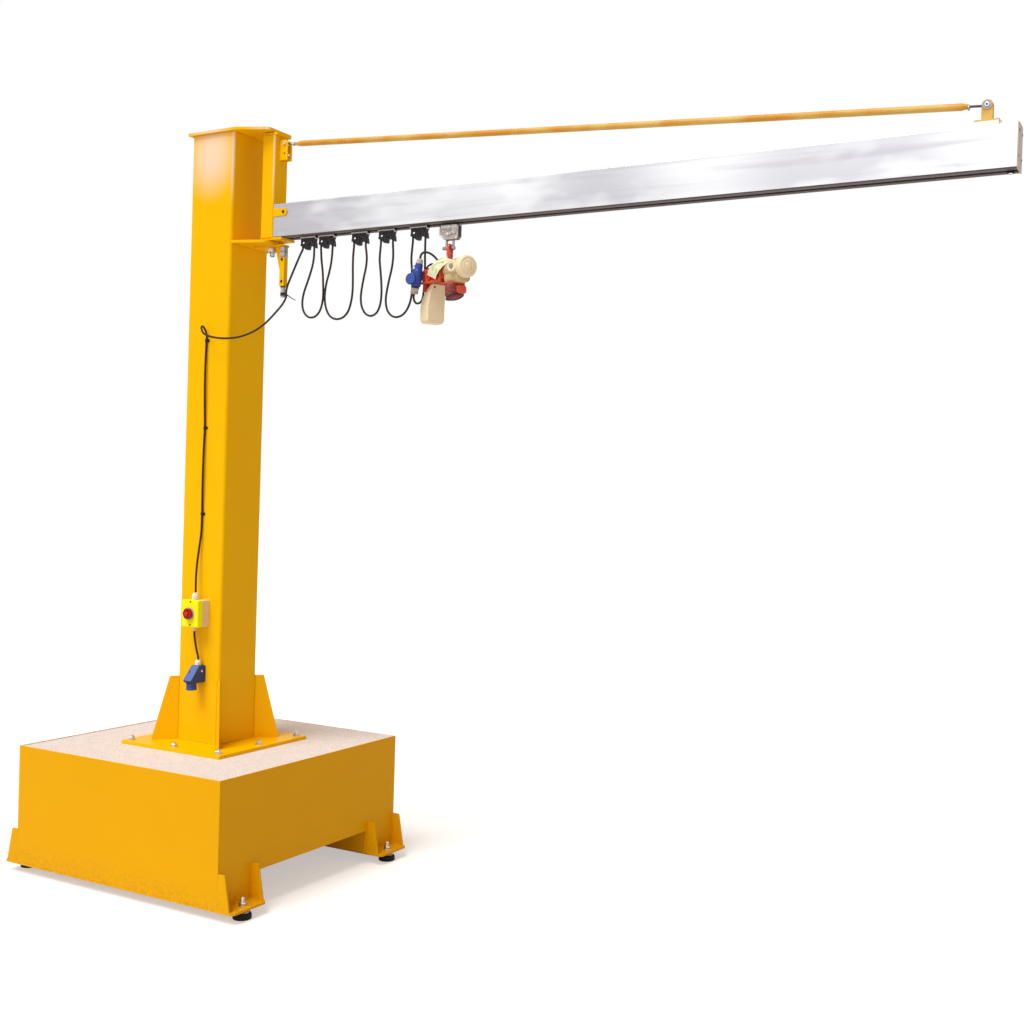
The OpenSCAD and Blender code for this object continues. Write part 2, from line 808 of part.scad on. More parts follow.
// The hoist's eye, which hangs on the trolley's pin
module hoist_hook() {
    inner = 8.5;
    outer = 17;
    bar = 12;
    high = hook_pin_z + hook_pin_d / 2 + run_gap - inner;
    low = high - 58;
    color("orangered") {
        translate([hoist_px, bar / 2, 0]) rotate([90, 0, 0]) linear_extrude(bar)
            difference() {
                slot(outer, low, high);
                slot(inner, low, high);
            }
        translate([hoist_px, 0, casting_top]) cylinder(d = 16, h = low - outer + 3 - casting_top);
    }
}

module hoist_casting() {
    color("orangered")
    at_hoist() translate([0, 0, casting_z - hoist_z]) difference() {
        translate([motor_u - casting_l, 0, casting_h / 2]) rotate([0, 90, 0])
            linear_extrude(casting_l) folded(casting_h, casting_w, 22);
        translate([motor_u - 30, -casting_w, -1]) cube([31, 2 * casting_w, 13]);
    }
}

module hoist_motor() {
    color("wheat")
    at_hoist() translate([motor_u, 0, 0]) rotate([0, 90, 0]) rotate_extrude()
        polygon([[0, 0], [motor_d / 2, 0], [motor_d / 2, motor_l - 12],
                 [motor_d / 2 - 4, motor_l - 4], [motor_d / 2 - 12, motor_l - 4],
                 [motor_d / 2 - 14, motor_l], [0, motor_l]]);
}

module hoist_cover() {
    top = casting_z - hoist_z;
    color("wheat")
    at_hoist() translate([motor_u - casting_l - 18, box_w / 2, 0]) rotate([90, 0, 0])
        linear_extrude(box_w)
            polygon([[10, top - eps], [box_l - 14, top - eps], [box_l, top - 26],
                     [box_l, top - box_h + 6], [box_l - 12, top - box_h], [8, top - box_h],
                     [0, top - box_h + 10], [0, top - 20]]);
}

module chain_bag() {
    top = -motor_d / 2 - 0.4;
    color("maroon")
    at_hoist() translate([motor_u + 2, 0, top - bag_h / 2]) rotate([0, 90, 0])
        linear_extrude(bag_l) folded(bag_h, bag_w, 20);
}

// The in-line coupler in the hoist's supply cable, leaning beside the hoist
coupler_x = hoist_px - 158;
coupler_y = -14;
coupler_low = hoist_z - 89;

module cable_coupler() {
    r = coupler_d / 2;
    h = coupler_h;
    color("royalblue")
    translate([coupler_x, coupler_y, coupler_low]) rotate([0, coupler_lean, 0]) {
        rotate_extrude()
            polygon([[0, 0], [r - 7, 0], [r - 5, 24], [r - 2, 34], [r, h - 80], [r, h - 52],
                     [r - 5, h - 44], [r - 8, h], [0, h]]);
        translate([-8, -12, h - 78]) rotate([90, 0, 0]) cylinder(d = coupler_d + 2, h = 22);
    }
}

// --------------------------------------------------------------- power

switch_x = 8;
spindle_d = 8;
spindle_l = 12;
gland_h = 20;
gland_y = face_y - 30;
inlet_x = 18;
inlet_gland_y = face_y - 22;
sleeve_y = face_y - 58;
box_top = switch_z + switch_h / 2;
box_low = switch_z - switch_h / 2;

module switch_box() {
    color("yellow")
    difference() {
        translate([switch_x - switch_w / 2, face_y - switch_d, box_low])
            cube([switch_w, switch_d, switch_h]);
        translate([switch_x, face_y - switch_d + spindle_l + 1, switch_z]) rotate([90, 0, 0])
            cylinder(d = spindle_d + 2 * pin_fit, h = spindle_l + 2);
    }
}

// The knob turns on a spindle in the switch box
module switch_knob() {
    r = knob_d / 2;
    color("crimson")
    translate([switch_x, face_y - switch_d - run_gap, switch_z]) rotate([90, 0, 0])
        rotate_extrude()
            polygon([[0, -spindle_l], [spindle_d / 2, -spindle_l], [spindle_d / 2, 0],
                     [r - 6, 0], [r - 6, 8], [r, 10], [r, 18], [r - 4, 22], [0, 22]]);
}

module gland() {
    rotate_extrude()
        polygon([[0, 0], [12, 0], [12, gland_h / 2], [9, gland_h], [0, gland_h]]);
}

module cable_glands() {
    color("white") {
        translate([0, gland_y, box_top]) gland();
        translate([0, gland_y, box_low]) mirror([0, 0, 1]) gland();
        translate([inlet_x, inlet_gland_y, inlet_z]) gland();
    }
}

// A hood that widens outwards to its lower edge, over the plug's sleeve
module wall_inlet() {
    low = inlet_z - inlet_h;
    color("slateblue") {
        translate([inlet_x - inlet_w / 2, face_y, 0]) rotate([90, 0, 90])
            linear_extrude(inlet_w)
                polygon([[0, inlet_z], [-inlet_top_d, inlet_z], [-inlet_d, low + 13],
                         [-inlet_d + 13, low], [0, low]]);
        translate([inlet_x, sleeve_y, low - 30]) cylinder(d = 44, h = 30 + eps);
    }
}

// --------------------------------------------------------------- cables

function unit(v) = v / norm(v);

function tangent(p, i) = unit(p[min(i + 1, len(p) - 1)] - p[max(i - 1, 0)]);
function across(t) = unit(cross(t, abs(t[1]) < 0.9 ? [0, 1, 0] : [1, 0, 0]));

// The direction across the route at each point, carried along it without a twist
function carried(p, i = 0, last = undef) =
    i == len(p) ? [] :
    let (t = tangent(p, i),
         start = i == 0 ? across(t) : last,
         u = unit(start - (start * t) * t))
    concat([u], carried(p, i + 1, u));

// A tube of n sides along the points p, closed at both ends
module tube(p, d, n = 8) {
    us = carried(p);
    rings = [for (i = [0:len(p) - 1])
        let (u = us[i], v = cross(tangent(p, i), u))
        for (k = [0:n - 1]) p[i] + d / 2 * (u * cos(360 * k / n) + v * sin(360 * k / n))];
    sides = [for (i = [0:len(p) - 2], k = [0:n - 1])
        let (a = i * n + k, b = i * n + (k + 1) % n)
        each [[a, b, b + n], [a, b + n, a + n]]];
    ends = [[for (k = [n - 1:-1:0]) k], [for (k = [0:n - 1]) (len(p) - 1) * n + k]];
    polyhedron(rings, concat(sides, ends), convexity = 4);
}

// The supply cable on the column, held by its clips
column_route = [[0, -150, 1209], [0, -150, 1235], [-2, -148, 1280], [-4, -142, 1340],
    [-2, -134, 1410], [2, -128, 1480], [2, -126, 1552], [2, -126, 1572], [3, -129, 1680],
    [4, -130, 1760], [4, -129, 1840], [4, -126, 1928], [4, -126, 1948], [2, -129, 2060],
    [1, -130, 2130], [0, -129, 2210], [0, -126, 2309], [0, -126, 2330]];
link_route = [[0, -150, 1051], [0, -150, 1035], [3, -149, 1012], [11, -146, 970],
    [18, -142, 938], [18, -142, 922]];

// From the highest clip, in a slack bow round the column's corner, to the cable guide
feed_route = [[0, -126, 2330], [0, -126, 2342], [0, -131, 2357], [1, -141, 2370],
    [4, -153, 2377], [10, -166, 2376], [17, -177, 2368], [28, -184, 2355], [39, -188, 2344],
    [54, -188, 2335], [74, -184, 2328], [98, -175, 2323], [124, -161, 2321], [150, -143, 2323],
    [176, -123, 2329], [201, -103, 2340], [226, -83, 2356], [251, -64, 2378], [275, -46, 2406],
    [297, -29, 2439], [313, -16, 2465], [325, -5, 2490], [333, 0, 2513], [333, 0, 2527]];
lead_in_route = [[333, 0, 2527], [333, 0, 2541], [341, 0, 2566], [357, 0, 2598],
    [376, 0, 2636], [395, 0, 2672], [408, 0, 2696], [417, 0, 2711], [419, 0, 2724]];

// The hanging loops between the cable trolleys
loop_1_route = [[480, 0, 2720], [480, 0, 2702], [479, 0, 2670], [472, 0, 2635], [460, 0, 2600],
    [446, 0, 2565], [432, 0, 2530], [424, 0, 2495], [426, 0, 2460], [442, 0, 2432],
    [468, 0, 2418], [496, 0, 2422], [518, 0, 2442], [531, 0, 2475], [535, 0, 2515],
    [533, 0, 2560], [529, 0, 2610], [521, 0, 2660], [517, 0, 2704], [517, 0, 2724]];
loop_2_route = [[578, 0, 2720], [578, 0, 2702], [574, 0, 2650], [564, 0, 2605], [552, 0, 2565],
    [545, 0, 2525], [545, 0, 2485], [556, 0, 2445], [578, 0, 2417], [610, 0, 2405],
    [645, 0, 2412], [670, 0, 2436], [684, 0, 2475], [690, 0, 2520], [690, 0, 2565],
    [688, 0, 2615], [688, 0, 2665], [691, 0, 2704], [691, 0, 2724]];
loop_3_route = [[752, 0, 2720], [752, 0, 2702], [759, 0, 2655], [756, 0, 2615], [747, 0, 2575],
    [739, 0, 2535], [734, 0, 2495], [739, 0, 2455], [758, 0, 2424], [787, 0, 2411],
    [816, 0, 2422], [833, 0, 2452], [839, 0, 2495], [837, 0, 2545], [831, 0, 2595],
    [825, 0, 2645], [829, 0, 2704], [829, 0, 2724]];
loop_4_route = [[890, 0, 2720], [890, 0, 2702], [893, 0, 2650], [888, 0, 2605], [877, 0, 2560],
    [867, 0, 2515], [862, 0, 2470], [872, 0, 2430], [896, 0, 2406], [926, 0, 2401],
    [956, 0, 2414], [978, 0, 2444], [990, 0, 2485], [992, 0, 2535], [988, 0, 2590],
    [984, 0, 2640], [989, 0, 2704], [989, 0, 2724]];

// From cable trolley 5 down to the coupler, and from the coupler over to the hoist
coupler_route = [[1050, 0, 2720], [1050, 0, 2702], [1046, 6, 2675], [1037, 20, 2640],
    [1026, 38, 2603], [1018, 48, 2565], [1012, 55, 2528], [1008, 58, 2500], [1006, 57, 2482],
    [1004, 50, 2468], [1002, 37, 2459], [1003, 22, 2456], [1005, 8, 2457],
    [1007.4, -3, 2461.5], [1009, -10.5, 2469], [1010.3, -14, 2478.2], [1012, -14, 2488]];
hoist_route = [[1037, -14, 2629.8], [1038.7, -14, 2639.6], [1042, -12, 2649],
    [1050, -7, 2655.5], [1061, -1, 2656], [1073, 6, 2651], [1085, 12, 2642], [1095, 17, 2631],
    [1102, 20, 2620], [1105, 21, 2610], [1105, 21, 2598]];

module column_cable() {
    color("black") {
        tube(column_route, cable_d);
        tube(link_route, cable_d);
    }
}

// Saddle clips that hold the cable on the column, from the highest one down
clips = [[0, 2319], [4, 1938], [2, 1562]];
clip_y = face_y - 6;
clip_w = 26;
clip_h = 12;
tie_z = sleeve_z + 9;
tie_x = tube_x + 19;

module clip_outline() {
    difference() {
        union() {
            translate([-clip_w / 2, face_y - 2]) square([clip_w, 2]);
            translate([-cable_r - 2, clip_y]) square([2 * cable_r + 4, 5]);
            translate([0, clip_y]) circle(r = cable_r + 2);
        }
        translate([0, clip_y]) circle(d = cable_d + 2 * pin_fit);
        translate([-clip_w, face_y]) square([2 * clip_w, clip_w]);
    }
}

// The tie that holds the cable against the guide's sleeve
module tie_outline() {
    difference() {
        union() {
            translate([tube_x, 0]) circle(d = sleeve_d + 3);
            translate([tie_x, 0]) circle(d = cable_d + 3);
            translate([tube_x, -cable_r - 1.5]) square([tie_x - tube_x, cable_d + 3]);
        }
        translate([tube_x, 0]) circle(d = sleeve_d + 2 * pin_fit);
        translate([tie_x, 0]) circle(d = cable_d + 2 * pin_fit);
    }
}

module cable_clips() {
    color("dimgray") {
        for (c = clips) translate([c[0], 0, c[1] - clip_h / 2]) linear_extrude(clip_h)
            clip_outline();
        translate([0, 0, tie_z - 3]) linear_extrude(6) tie_outline();
    }
}

module feed_cable() { color("black") tube(feed_route, cable_d); }
module lead_in_cable() { color("black") tube(lead_in_route, cable_d); }
module cable_loop_1() { color("black") tube(loop_1_route, cable_d); }
module cable_loop_2() { color("black") tube(loop_2_route, cable_d); }
module cable_loop_3() { color("black") tube(loop_3_route, cable_d); }
module cable_loop_4() { color("black") tube(loop_4_route, cable_d); }
module coupler_cable() { color("black") tube(coupler_route, cable_d); }
module hoist_cable() { color("black") tube(hoist_route, cable_d); }

side_walls();
end_walls();
tunnel_lining();
counterweight();
skids();
foot_studs();
rubber_feet();
base_plate();
corner_gussets();
column();
nose_plates();
pivot_pins();
cable_guide();
switch_box();
switch_knob();
cable_glands();
wall_inlet();
column_cable();
cable_clips();
feed_cable();
yoke();
yoke_lugs();
jib_beam();
beam_end_cap();
tip_bracket();
tie_rod();
tie_rod_ends();
lead_in_cable();
cable_trolley_1();
cable_trolley_2();
cable_trolley_3();
cable_trolley_4();
cable_trolley_5();
cable_loop_1();
cable_loop_2();
cable_loop_3();
cable_loop_4();
hoist_trolley();
hoist_hook();
hoist_casting();
hoist_motor();
hoist_cover();
chain_bag();
cable_coupler();
coupler_cable();
hoist_cable();
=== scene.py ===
import json
import math
import bmesh
import bpy
from mathutils import Matrix, Vector, noise

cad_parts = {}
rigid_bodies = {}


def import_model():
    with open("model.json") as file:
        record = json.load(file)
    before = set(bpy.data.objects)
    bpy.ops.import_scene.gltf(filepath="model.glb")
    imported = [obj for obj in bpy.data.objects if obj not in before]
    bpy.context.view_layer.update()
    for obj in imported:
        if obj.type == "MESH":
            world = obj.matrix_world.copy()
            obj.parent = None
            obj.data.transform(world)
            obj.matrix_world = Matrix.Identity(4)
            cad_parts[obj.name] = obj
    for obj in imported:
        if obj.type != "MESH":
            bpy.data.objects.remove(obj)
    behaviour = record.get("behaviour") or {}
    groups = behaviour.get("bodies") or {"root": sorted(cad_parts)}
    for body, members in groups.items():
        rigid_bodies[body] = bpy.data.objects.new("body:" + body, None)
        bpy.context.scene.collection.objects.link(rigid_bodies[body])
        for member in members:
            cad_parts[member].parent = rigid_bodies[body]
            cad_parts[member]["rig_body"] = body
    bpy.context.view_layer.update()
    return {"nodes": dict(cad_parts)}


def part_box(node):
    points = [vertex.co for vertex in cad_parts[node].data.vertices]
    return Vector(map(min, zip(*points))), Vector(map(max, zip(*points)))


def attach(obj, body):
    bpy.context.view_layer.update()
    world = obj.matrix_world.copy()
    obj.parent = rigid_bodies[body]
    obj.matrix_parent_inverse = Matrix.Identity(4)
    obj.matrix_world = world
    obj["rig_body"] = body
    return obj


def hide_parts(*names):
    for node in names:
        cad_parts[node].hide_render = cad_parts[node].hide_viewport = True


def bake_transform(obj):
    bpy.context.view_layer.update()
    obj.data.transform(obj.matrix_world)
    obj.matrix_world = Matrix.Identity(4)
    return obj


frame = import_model()
cad = frame["nodes"]
MM = 0.001
HERE = Matrix()
SIDES = (-1, 1)


def box(node):
    """Lowest and highest corner of a part, in millimetres."""
    return [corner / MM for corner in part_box(node)]


def placed(name, data):
    """A new object in the scene."""
    thing = bpy.data.objects.new(name, data)
    bpy.context.scene.collection.objects.link(thing)
    return thing


# ------------------------------------------------------------------ camera

EYE = (3.9264, -4.2139, 1.6749)
YAW, PITCH, ROLL = 0.50122, -0.01081, 0.03076
# The focal length and the shift are shares of the view's width
FOCAL, SHIFT, SENSOR = 1250.8 / 1024, -28 / 1024, 36
ahead = Vector((-math.sin(YAW) * math.cos(PITCH), math.cos(YAW) * math.cos(PITCH),
                math.sin(PITCH)))
level = Vector((math.cos(YAW), math.sin(YAW), 0))
side = level * math.cos(ROLL) + level.cross(ahead) * math.sin(ROLL)
camera = placed("camera", bpy.data.cameras.new("camera"))
camera.matrix_world = Matrix.LocRotScale(
    EYE, Matrix((side, side.cross(ahead), -ahead)).transposed(), None)
camera.data.sensor_width = SENSOR
camera.data.lens = FOCAL * SENSOR
camera.data.shift_x = SHIFT
camera.data.clip_end = 200
bpy.context.scene.camera = camera
bpy.context.scene.view_settings.view_transform = "Standard"


# ---------------------------------------------------------------- finishes

def srgb(code):
    """An sRGB hex colour as a linear one."""
    parts = [int(code[i:i + 2], 16) / 255 for i in (1, 3, 5)]
    return (*[c / 12.92 if c <= 0.04045 else ((c + 0.055) / 1.055) ** 2.4 for c in parts], 1)


def add(tree, kind, settings):
    """Adds a node: a setting is a property, an input's value, or the socket linked to an input."""
    node = tree.nodes.new(kind)
    for key, value in settings.items():
        if isinstance(key, str) and key in node.bl_rna.properties and key != "inputs":
            setattr(node, key, value)
        elif isinstance(value, bpy.types.NodeSocket):
            tree.links.new(value, node.inputs[key])
        else:
            node.inputs[key].default_value = value
    return node


def output(tree, kind, settings, key=0):
    """One output of a new node."""
    return add(tree, kind, settings).outputs[key]


def calc(tree, operation, *given):
    """The result of an operation on numbers or outputs."""
    return output(tree, "ShaderNodeMath", {"operation": operation, **dict(enumerate(given))})


def vector(tree, operation, *given, key=0):
    """The result of an operation on vectors."""
    return output(tree, "ShaderNodeVectorMath", {"operation": operation, **dict(enumerate(given))},
               key)


def ranged(tree, given, low, high, first=0.0, last=1.0, kind="LINEAR"):
    """A value between low and high, brought to the range from first to last."""
    return output(tree, "ShaderNodeMapRange", {"interpolation_type": kind, "Value": given, 1: low,
                                            2: high, 3: first, 4: last})


def cloud(tree, place, size, detail):
    """Noise in patches of a size in millimetres."""
    return output(tree, "ShaderNodeTexNoise", {"Vector": place, "Scale": 1000 / size,
                                            "Detail": detail})


def stretched(tree, place, stretch):
    return output(tree, "ShaderNodeMapping", {"Vector": place, "Scale": stretch})


def coordinate(tree, place, axis):
    return output(tree, "ShaderNodeSeparateXYZ", {0: place}, axis)


def mixed(tree, share, under, over):
    """Two colours mixed by a share."""
    return output(tree, "ShaderNodeMix", {"data_type": "RGBA", 0: share, 6: under, 7: over}, 2)


def emptied(owner):
    """The empty node tree of a material or a world."""
    owner.use_nodes = True
    owner.node_tree.nodes.clear()
    return owner.node_tree


def finish(name, tones, patch, rough, grain, relief, shine=0.5, metal=0.0, stretch=(1, 1, 1),
           **sockets):
    """A finish with two tones in soft patches, a range of roughness, and a surface grain.

    patch and grain are real sizes and relief a real height, all in millimetres."""
    material = bpy.data.materials.new(name)
    tree = emptied(material)
    place = stretched(tree, output(tree, "ShaderNodeTexCoord", {}, "Object"), stretch)
    patches = cloud(tree, place, patch, 4.0)
    tone = mixed(tree, patches, *map(srgb, tones))
    spread = ranged(tree, patches, 0.3, 0.7, *rough)
    bump = output(tree, "ShaderNodeBump", {"Height": cloud(tree, place, grain, 3.0),
                                        "Distance": relief * MM, "Strength": 1.0})
    shader = output(tree, "ShaderNodeBsdfPrincipled", {
        "Base Color": tone, "Roughness": spread, "Normal": bump, "Specular IOR Level": shine,
        "Metallic": metal, **{key.replace("_", " "): value for key, value in sockets.items()}})
    add(tree, "ShaderNodeOutputMaterial", {"Surface": shader})
    return material


def moulded(name, tones, rough, patch=20, grain=1.2, relief=0.02, shine=0.3):
    """An injection moulding: satin, with a fine spark grain."""
    return finish(name, tones, patch, rough, grain, relief, shine)


def overlay(material, colour, mask, rough=None):
    """Lays a second colour over a finish where mask(tree, place) is 1."""
    tree = material.node_tree
    shader = next(n for n in tree.nodes if n.type == "BSDF_PRINCIPLED")
    share = mask(tree, next(n for n in tree.nodes if n.type == "TEX_COORD").outputs["Object"])
    base = shader.inputs["Base Color"]
    tree.links.new(mixed(tree, share, base.links[0].from_socket, srgb(colour)), base)
    if rough is not None:
        base = shader.inputs["Roughness"]
        mix = output(tree, "ShaderNodeMix", {0: share, 2: base.links[0].from_socket, 3: rough})
        tree.links.new(mix, base)


def specks(size, low, high, stretch=(1, 1, 1), share=1.0):
    """A mask of specks of a size in millimetres, where the noise is over low."""
    return lambda tree, place: ranged(
        tree, cloud(tree, stretched(tree, place, stretch), size, 2.0), low, high, 0.0, share)


def low_down(start, end, size, share):
    """A mask that fades in from height start down to height end, in millimetres, in patches."""
    return lambda tree, place: calc(
        tree, "MULTIPLY",
        ranged(tree, coordinate(tree, place, 2), start * MM, end * MM, 0.0, share),
        ranged(tree, cloud(tree, place, size, 6.0), 0.42, 0.66))


def along(*stops):
    """A mask that follows X from stop to stop, each (X in millimetres, share)."""
    def mask(tree, place):
        first, last = stops[0][0], stops[-1][0]
        x = ranged(tree, coordinate(tree, place, 0), first * MM, last * MM)
        ramp = add(tree, "ShaderNodeValToRGB", {"Fac": x})
        ramp.color_ramp.interpolation = "EASE"
        marks = ramp.color_ramp.elements
        for spot, share in stops[1:-1]:
            marks.new((spot - first) / (last - first)).color = (share, share, share, 1)
        marks[0].color = (*[stops[0][1]] * 3, 1)
        marks[-1].color = (*[stops[-1][1]] * 3, 1)
        return ramp.outputs[0]
    return mask


def painted_highlight(tree, place):
    """A painted highlight: a soft pale patch high on the face towards the switch, and pale lines
    on the folds beside it.
    """
    off = vector(tree, "SUBTRACT", place, (-0.005, -0.13, 3.13))
    off = vector(tree, "LENGTH", vector(tree, "MULTIPLY", off, (1, 1, 0.75)), key="Value")
    height = coordinate(tree, place, 2)
    shares = []
    for seen, low, high, way in ((off, 0.17, 0.02, (0, -1, 0)),
                                 (height, 2.88, 3.08, (0.7071, -0.7071, 0))):
        fade = ranged(tree, seen, low, high, kind="SMOOTHSTEP")
        looks = output(tree, "ShaderNodeTexCoord", {}, "Normal")
        looks = vector(tree, "DOT_PRODUCT", looks, way, key="Value")
        shares.append(calc(tree, "MULTIPLY", fade, ranged(tree, looks, 0.86, 0.97, 0.0, 0.8)))
    return calc(tree, "MAXIMUM", *shares)


# Two-pack enamel sprayed on steel: soft orange peel under an even satin gloss. The base's copy
# is a deeper yellow, painted shade; the column's is lemon, with a painted highlight towards its
# top
shaded_paint = finish("sprayed_yellow_enamel_painted_shade", ("#E7A700", "#EBAE00"), 260, (0.38, 0.48), 2.6, 0.05,
               shine=0.08)
overlay(shaded_paint, "#8A6A34", low_down(160, 10, 9, 0.35), 0.3)
column_paint = finish("sprayed_lemon_yellow_enamel", ("#F8B900", "#FBC300"), 260, (0.38, 0.48),
                      2.6, 0.05, shine=0.08)
# The column's top and its folds carry a painted highlight, pale over the yellow
overlay(column_paint, "#F7DFCD", painted_highlight)
# The casing's near top edge, painted pale yellow as a painted highlight
rim_highlight_paint = finish("pale_yellow_edge_painted_highlight", ("#FBD050", "#FDE08A"), 60, (0.4, 0.5), 2, 0.05,
                   shine=0.1)
# The tie rod's tube has a thinner, paler coat over bare metal, rubbed along its length
rod_paint = finish("thin_ochre_enamel", ("#D9AE52", "#E4C070"), 40, (0.38, 0.5), 3, 0.08,
                   shine=0.25, stretch=(0.3, 1, 1))
overlay(rod_paint, "#D68F1C", specks(90, 0.46, 0.60, (0.5, 1, 1), 0.8))
# Cast concrete, trowelled: warm grey-pink paste with pale and dark grains of sand
concrete = finish("trowelled_concrete", ("#DFD2CB", "#F2E9E5"), 60, (0.8, 0.95), 4, 0.9, shine=0.2)
overlay(concrete, "#A89A92", specks(5, 0.60, 0.66))
overlay(concrete, "#FFFFFF", specks(7, 0.62, 0.68))
# Extruded aluminium as it leaves the die: fine lines along its length, dulled in long clouds
aluminium = finish("extruded_aluminium", ("#D0CFD3", "#E4E4E6"), 60, (0.36, 0.46), 1.6, 0.02,
                   metal=1.0, stretch=(0.012, 1, 1))
# Grey stretches placed along the beam by X: painted reflections, darker where the metal mirrors
# darker surroundings
overlay(aluminium, "#B0AFB6", along(
    (343, 0.75), (591, 0.66), (948, 0.12), (1420, 0), (1851, 0.72), (2246, 0), (2611, 0.64),
    (2948, 0.66), (3231, 0.05), (3318, 0.12)))
overlay(aluminium, "#A19FA6", specks(36, 0.50, 0.68, (0.05, 1, 1), 0.45), 0.5)
overlay(aluminium, "#F2F2F3", specks(120, 0.54, 0.66, (0.4, 1, 1), 0.4))
# The profile's underside and the inside of its slot, dull and dark: painted shade
underside_shade_aluminium = finish("aluminium_underside_painted_shade", ("#5A5152", "#6E6564"), 50, (0.55, 0.7), 1.6, 0.03,
               shine=0.2, metal=0.2, stretch=(0.012, 1, 1))
# Zinc plated and passivated steel: bright, a little cloudy, faintly yellow
zinc = finish("zinc_plated_steel", ("#B9B7AE", "#D6D5D0"), 9, (0.24, 0.38), 1.2, 0.01, metal=1.0)
# Chromed fittings: clean and bright
chrome = finish("bright_chromed_steel", ("#D8D8DA", "#EFEFF0"), 12, (0.12, 0.2), 1.5, 0.005,
                metal=1.0)
# The shackle: forged steel whose plating has gone grey
shackle_steel = finish("worn_plated_forging", ("#7E7A77", "#A9A5A2"), 9, (0.25, 0.4), 1.2, 0.03,
                       metal=0.9)
# Rolled strip along the trolleys: plain bright steel gone grey
strip_steel = finish("rolled_steel_strip", ("#BDBAB7", "#D2CFCC"), 12, (0.35, 0.5), 1.2, 0.02,
                     metal=0.7)
# Pressed steel of the hoist trolley under a thin grey primer, rubbed pale in places
primer = finish("grey_primed_steel", ("#A6A2A0", "#BAB6B3"), 22, (0.45, 0.6), 1.4, 0.03, shine=0.3)
overlay(primer, "#E4DFDA", specks(16, 0.52, 0.62))
# The beam's end plate: bare milled aluminium, weathered warm grey
end_plate = finish("weathered_aluminium_plate", ("#AA9D92", "#BCB0A4"), 26, (0.45, 0.6), 1.6, 0.03,
                   metal=0.3)
# A sanded spacer under the tie rod's foot
pad_white = finish("sanded_aluminium_pad", ("#E6E1DB", "#F3EFEA"), 20, (0.5, 0.6), 1.4, 0.03,
                   metal=0.2)
# Steel parts blackened against rust
dark_steel = finish("blackened_steel", ("#3A3432", "#4C4643"), 10, (0.4, 0.55), 1.2, 0.02,
                    metal=0.5)
# Moulded natural rubber: matt black with a bloom of dust
rubber = finish("moulded_black_rubber", ("#171516", "#262324"), 22, (0.6, 0.8), 1.5, 0.06,
                shine=0.2)
# Glass-filled polyamide, injection moulded: near black, satin, finely sparked
nylon = moulded("black_moulded_polyamide", ("#1D1B20", "#2C282F"), (0.4, 0.55), 12, 0.9, 0.03)
# The fixed cable on the column: its sheath is tinted reddish brown, a painted reflection of the
# yellow column
sheath_painted_reflection = finish("rubber_sheath_painted_reflection", ("#38160E", "#4A2214"), 14, (0.42, 0.55), 1.2, 0.03,
                      shine=0.2)
# Extruded rubber sheath of the trailing cable: dark brown-black, dull, faint draw lines
sheath = finish("extruded_rubber_sheath", ("#251B14", "#35281E"), 14, (0.42, 0.55), 1.2, 0.03,
                shine=0.25)
# Stove enamel on the hoist's aluminium casting: orange-red over a slightly rough skin
casting_red = finish("orange_enamelled_casting", ("#AC3A20", "#C64A2A"), 18, (0.35, 0.48), 2.2,
                     0.16, shine=0.25)
# The same enamel where ribs, rims and the forged eye catch more of the spray
bright_red = finish("orange_enamelled_rims", ("#D9492A", "#E85A38"), 14, (0.3, 0.42), 2.0, 0.1,
                    shine=0.4)
# Moulded covers of the hoist: cream, satin, fine spark grain
cream = moulded("cream_moulded_cover", ("#EFDDB6", "#F9EAC8"), (0.4, 0.52), 45, 1.4, 0.03)
# The motor's own housing: the same cream, painted darker as painted shade
sand = finish("cream_housing_painted_shade", ("#C9B388", "#D8C69A"), 30, (0.45, 0.6), 1.6, 0.05, shine=0.2)
# Moulded polyamide of the industrial plug parts: the coupler, its lid and the inlet's sleeve
blue = moulded("blue_moulded_polyamide", ("#243E90", "#3350AA"), (0.28, 0.4))
blue_lid = moulded("light_blue_moulded_lid", ("#304E9E", "#3F5EAE"), (0.25, 0.35))
# The wall inlet's shell, slate blue; its sloped front is painted lighter, as painted light where
# it faces the light
inlet_blue = moulded("slate_blue_moulded_shell", ("#283C78", "#354A8A"), (0.35, 0.46))
lit_front_blue = moulded("blue_moulded_front_painted_light", ("#4C66A4", "#5E78B0"), (0.4, 0.5), 14)
violet = moulded("violet_blue_moulded_sleeve", ("#36409A", "#4650A8"), (0.35, 0.45))
# Moulded glands, the switch's box with its lid, seal and knob
grey_ring = moulded("grey_moulded_gland", ("#B5AAA3", "#CBC2BA"), (0.4, 0.5), 10, 1.0)
white = moulded("white_moulded_gland", ("#E2DACB", "#F3EEE3"), (0.35, 0.45), 10, 1.0)
lid_yellow = moulded("yellow_moulded_lid", ("#FAF400", "#FFFC10"), (0.35, 0.45), 30, shine=0.15)
beige = moulded("beige_moulded_box", ("#DFC89C", "#EAD8B2"), (0.4, 0.5), 30, shine=0.2)
seal = moulded("grey_rubber_seal", ("#8A8478", "#9A9488"), (0.6, 0.7), 10, shine=0.5)
red_centre = moulded("bright_red_moulded_button", ("#CC1220", "#DE1C2A"),
                     (0.22, 0.32), 12, 1.5, 0.01)
red = moulded("red_moulded_knob", ("#96060E", "#A80C16"), (0.22, 0.32), 12, 1.5, 0.01, 0.2)
# A paper tag: off-white with a green-yellow cast, slightly creased
paper = finish("coated_paper_tag", ("#DDE0B4", "#F0ECCB"), 9, (0.5, 0.6), 5, 0.3, shine=0.2)
overlay(paper, "#A9BE92", specks(15, 0.50, 0.62, (0.5, 1, 0.5), 0.7))
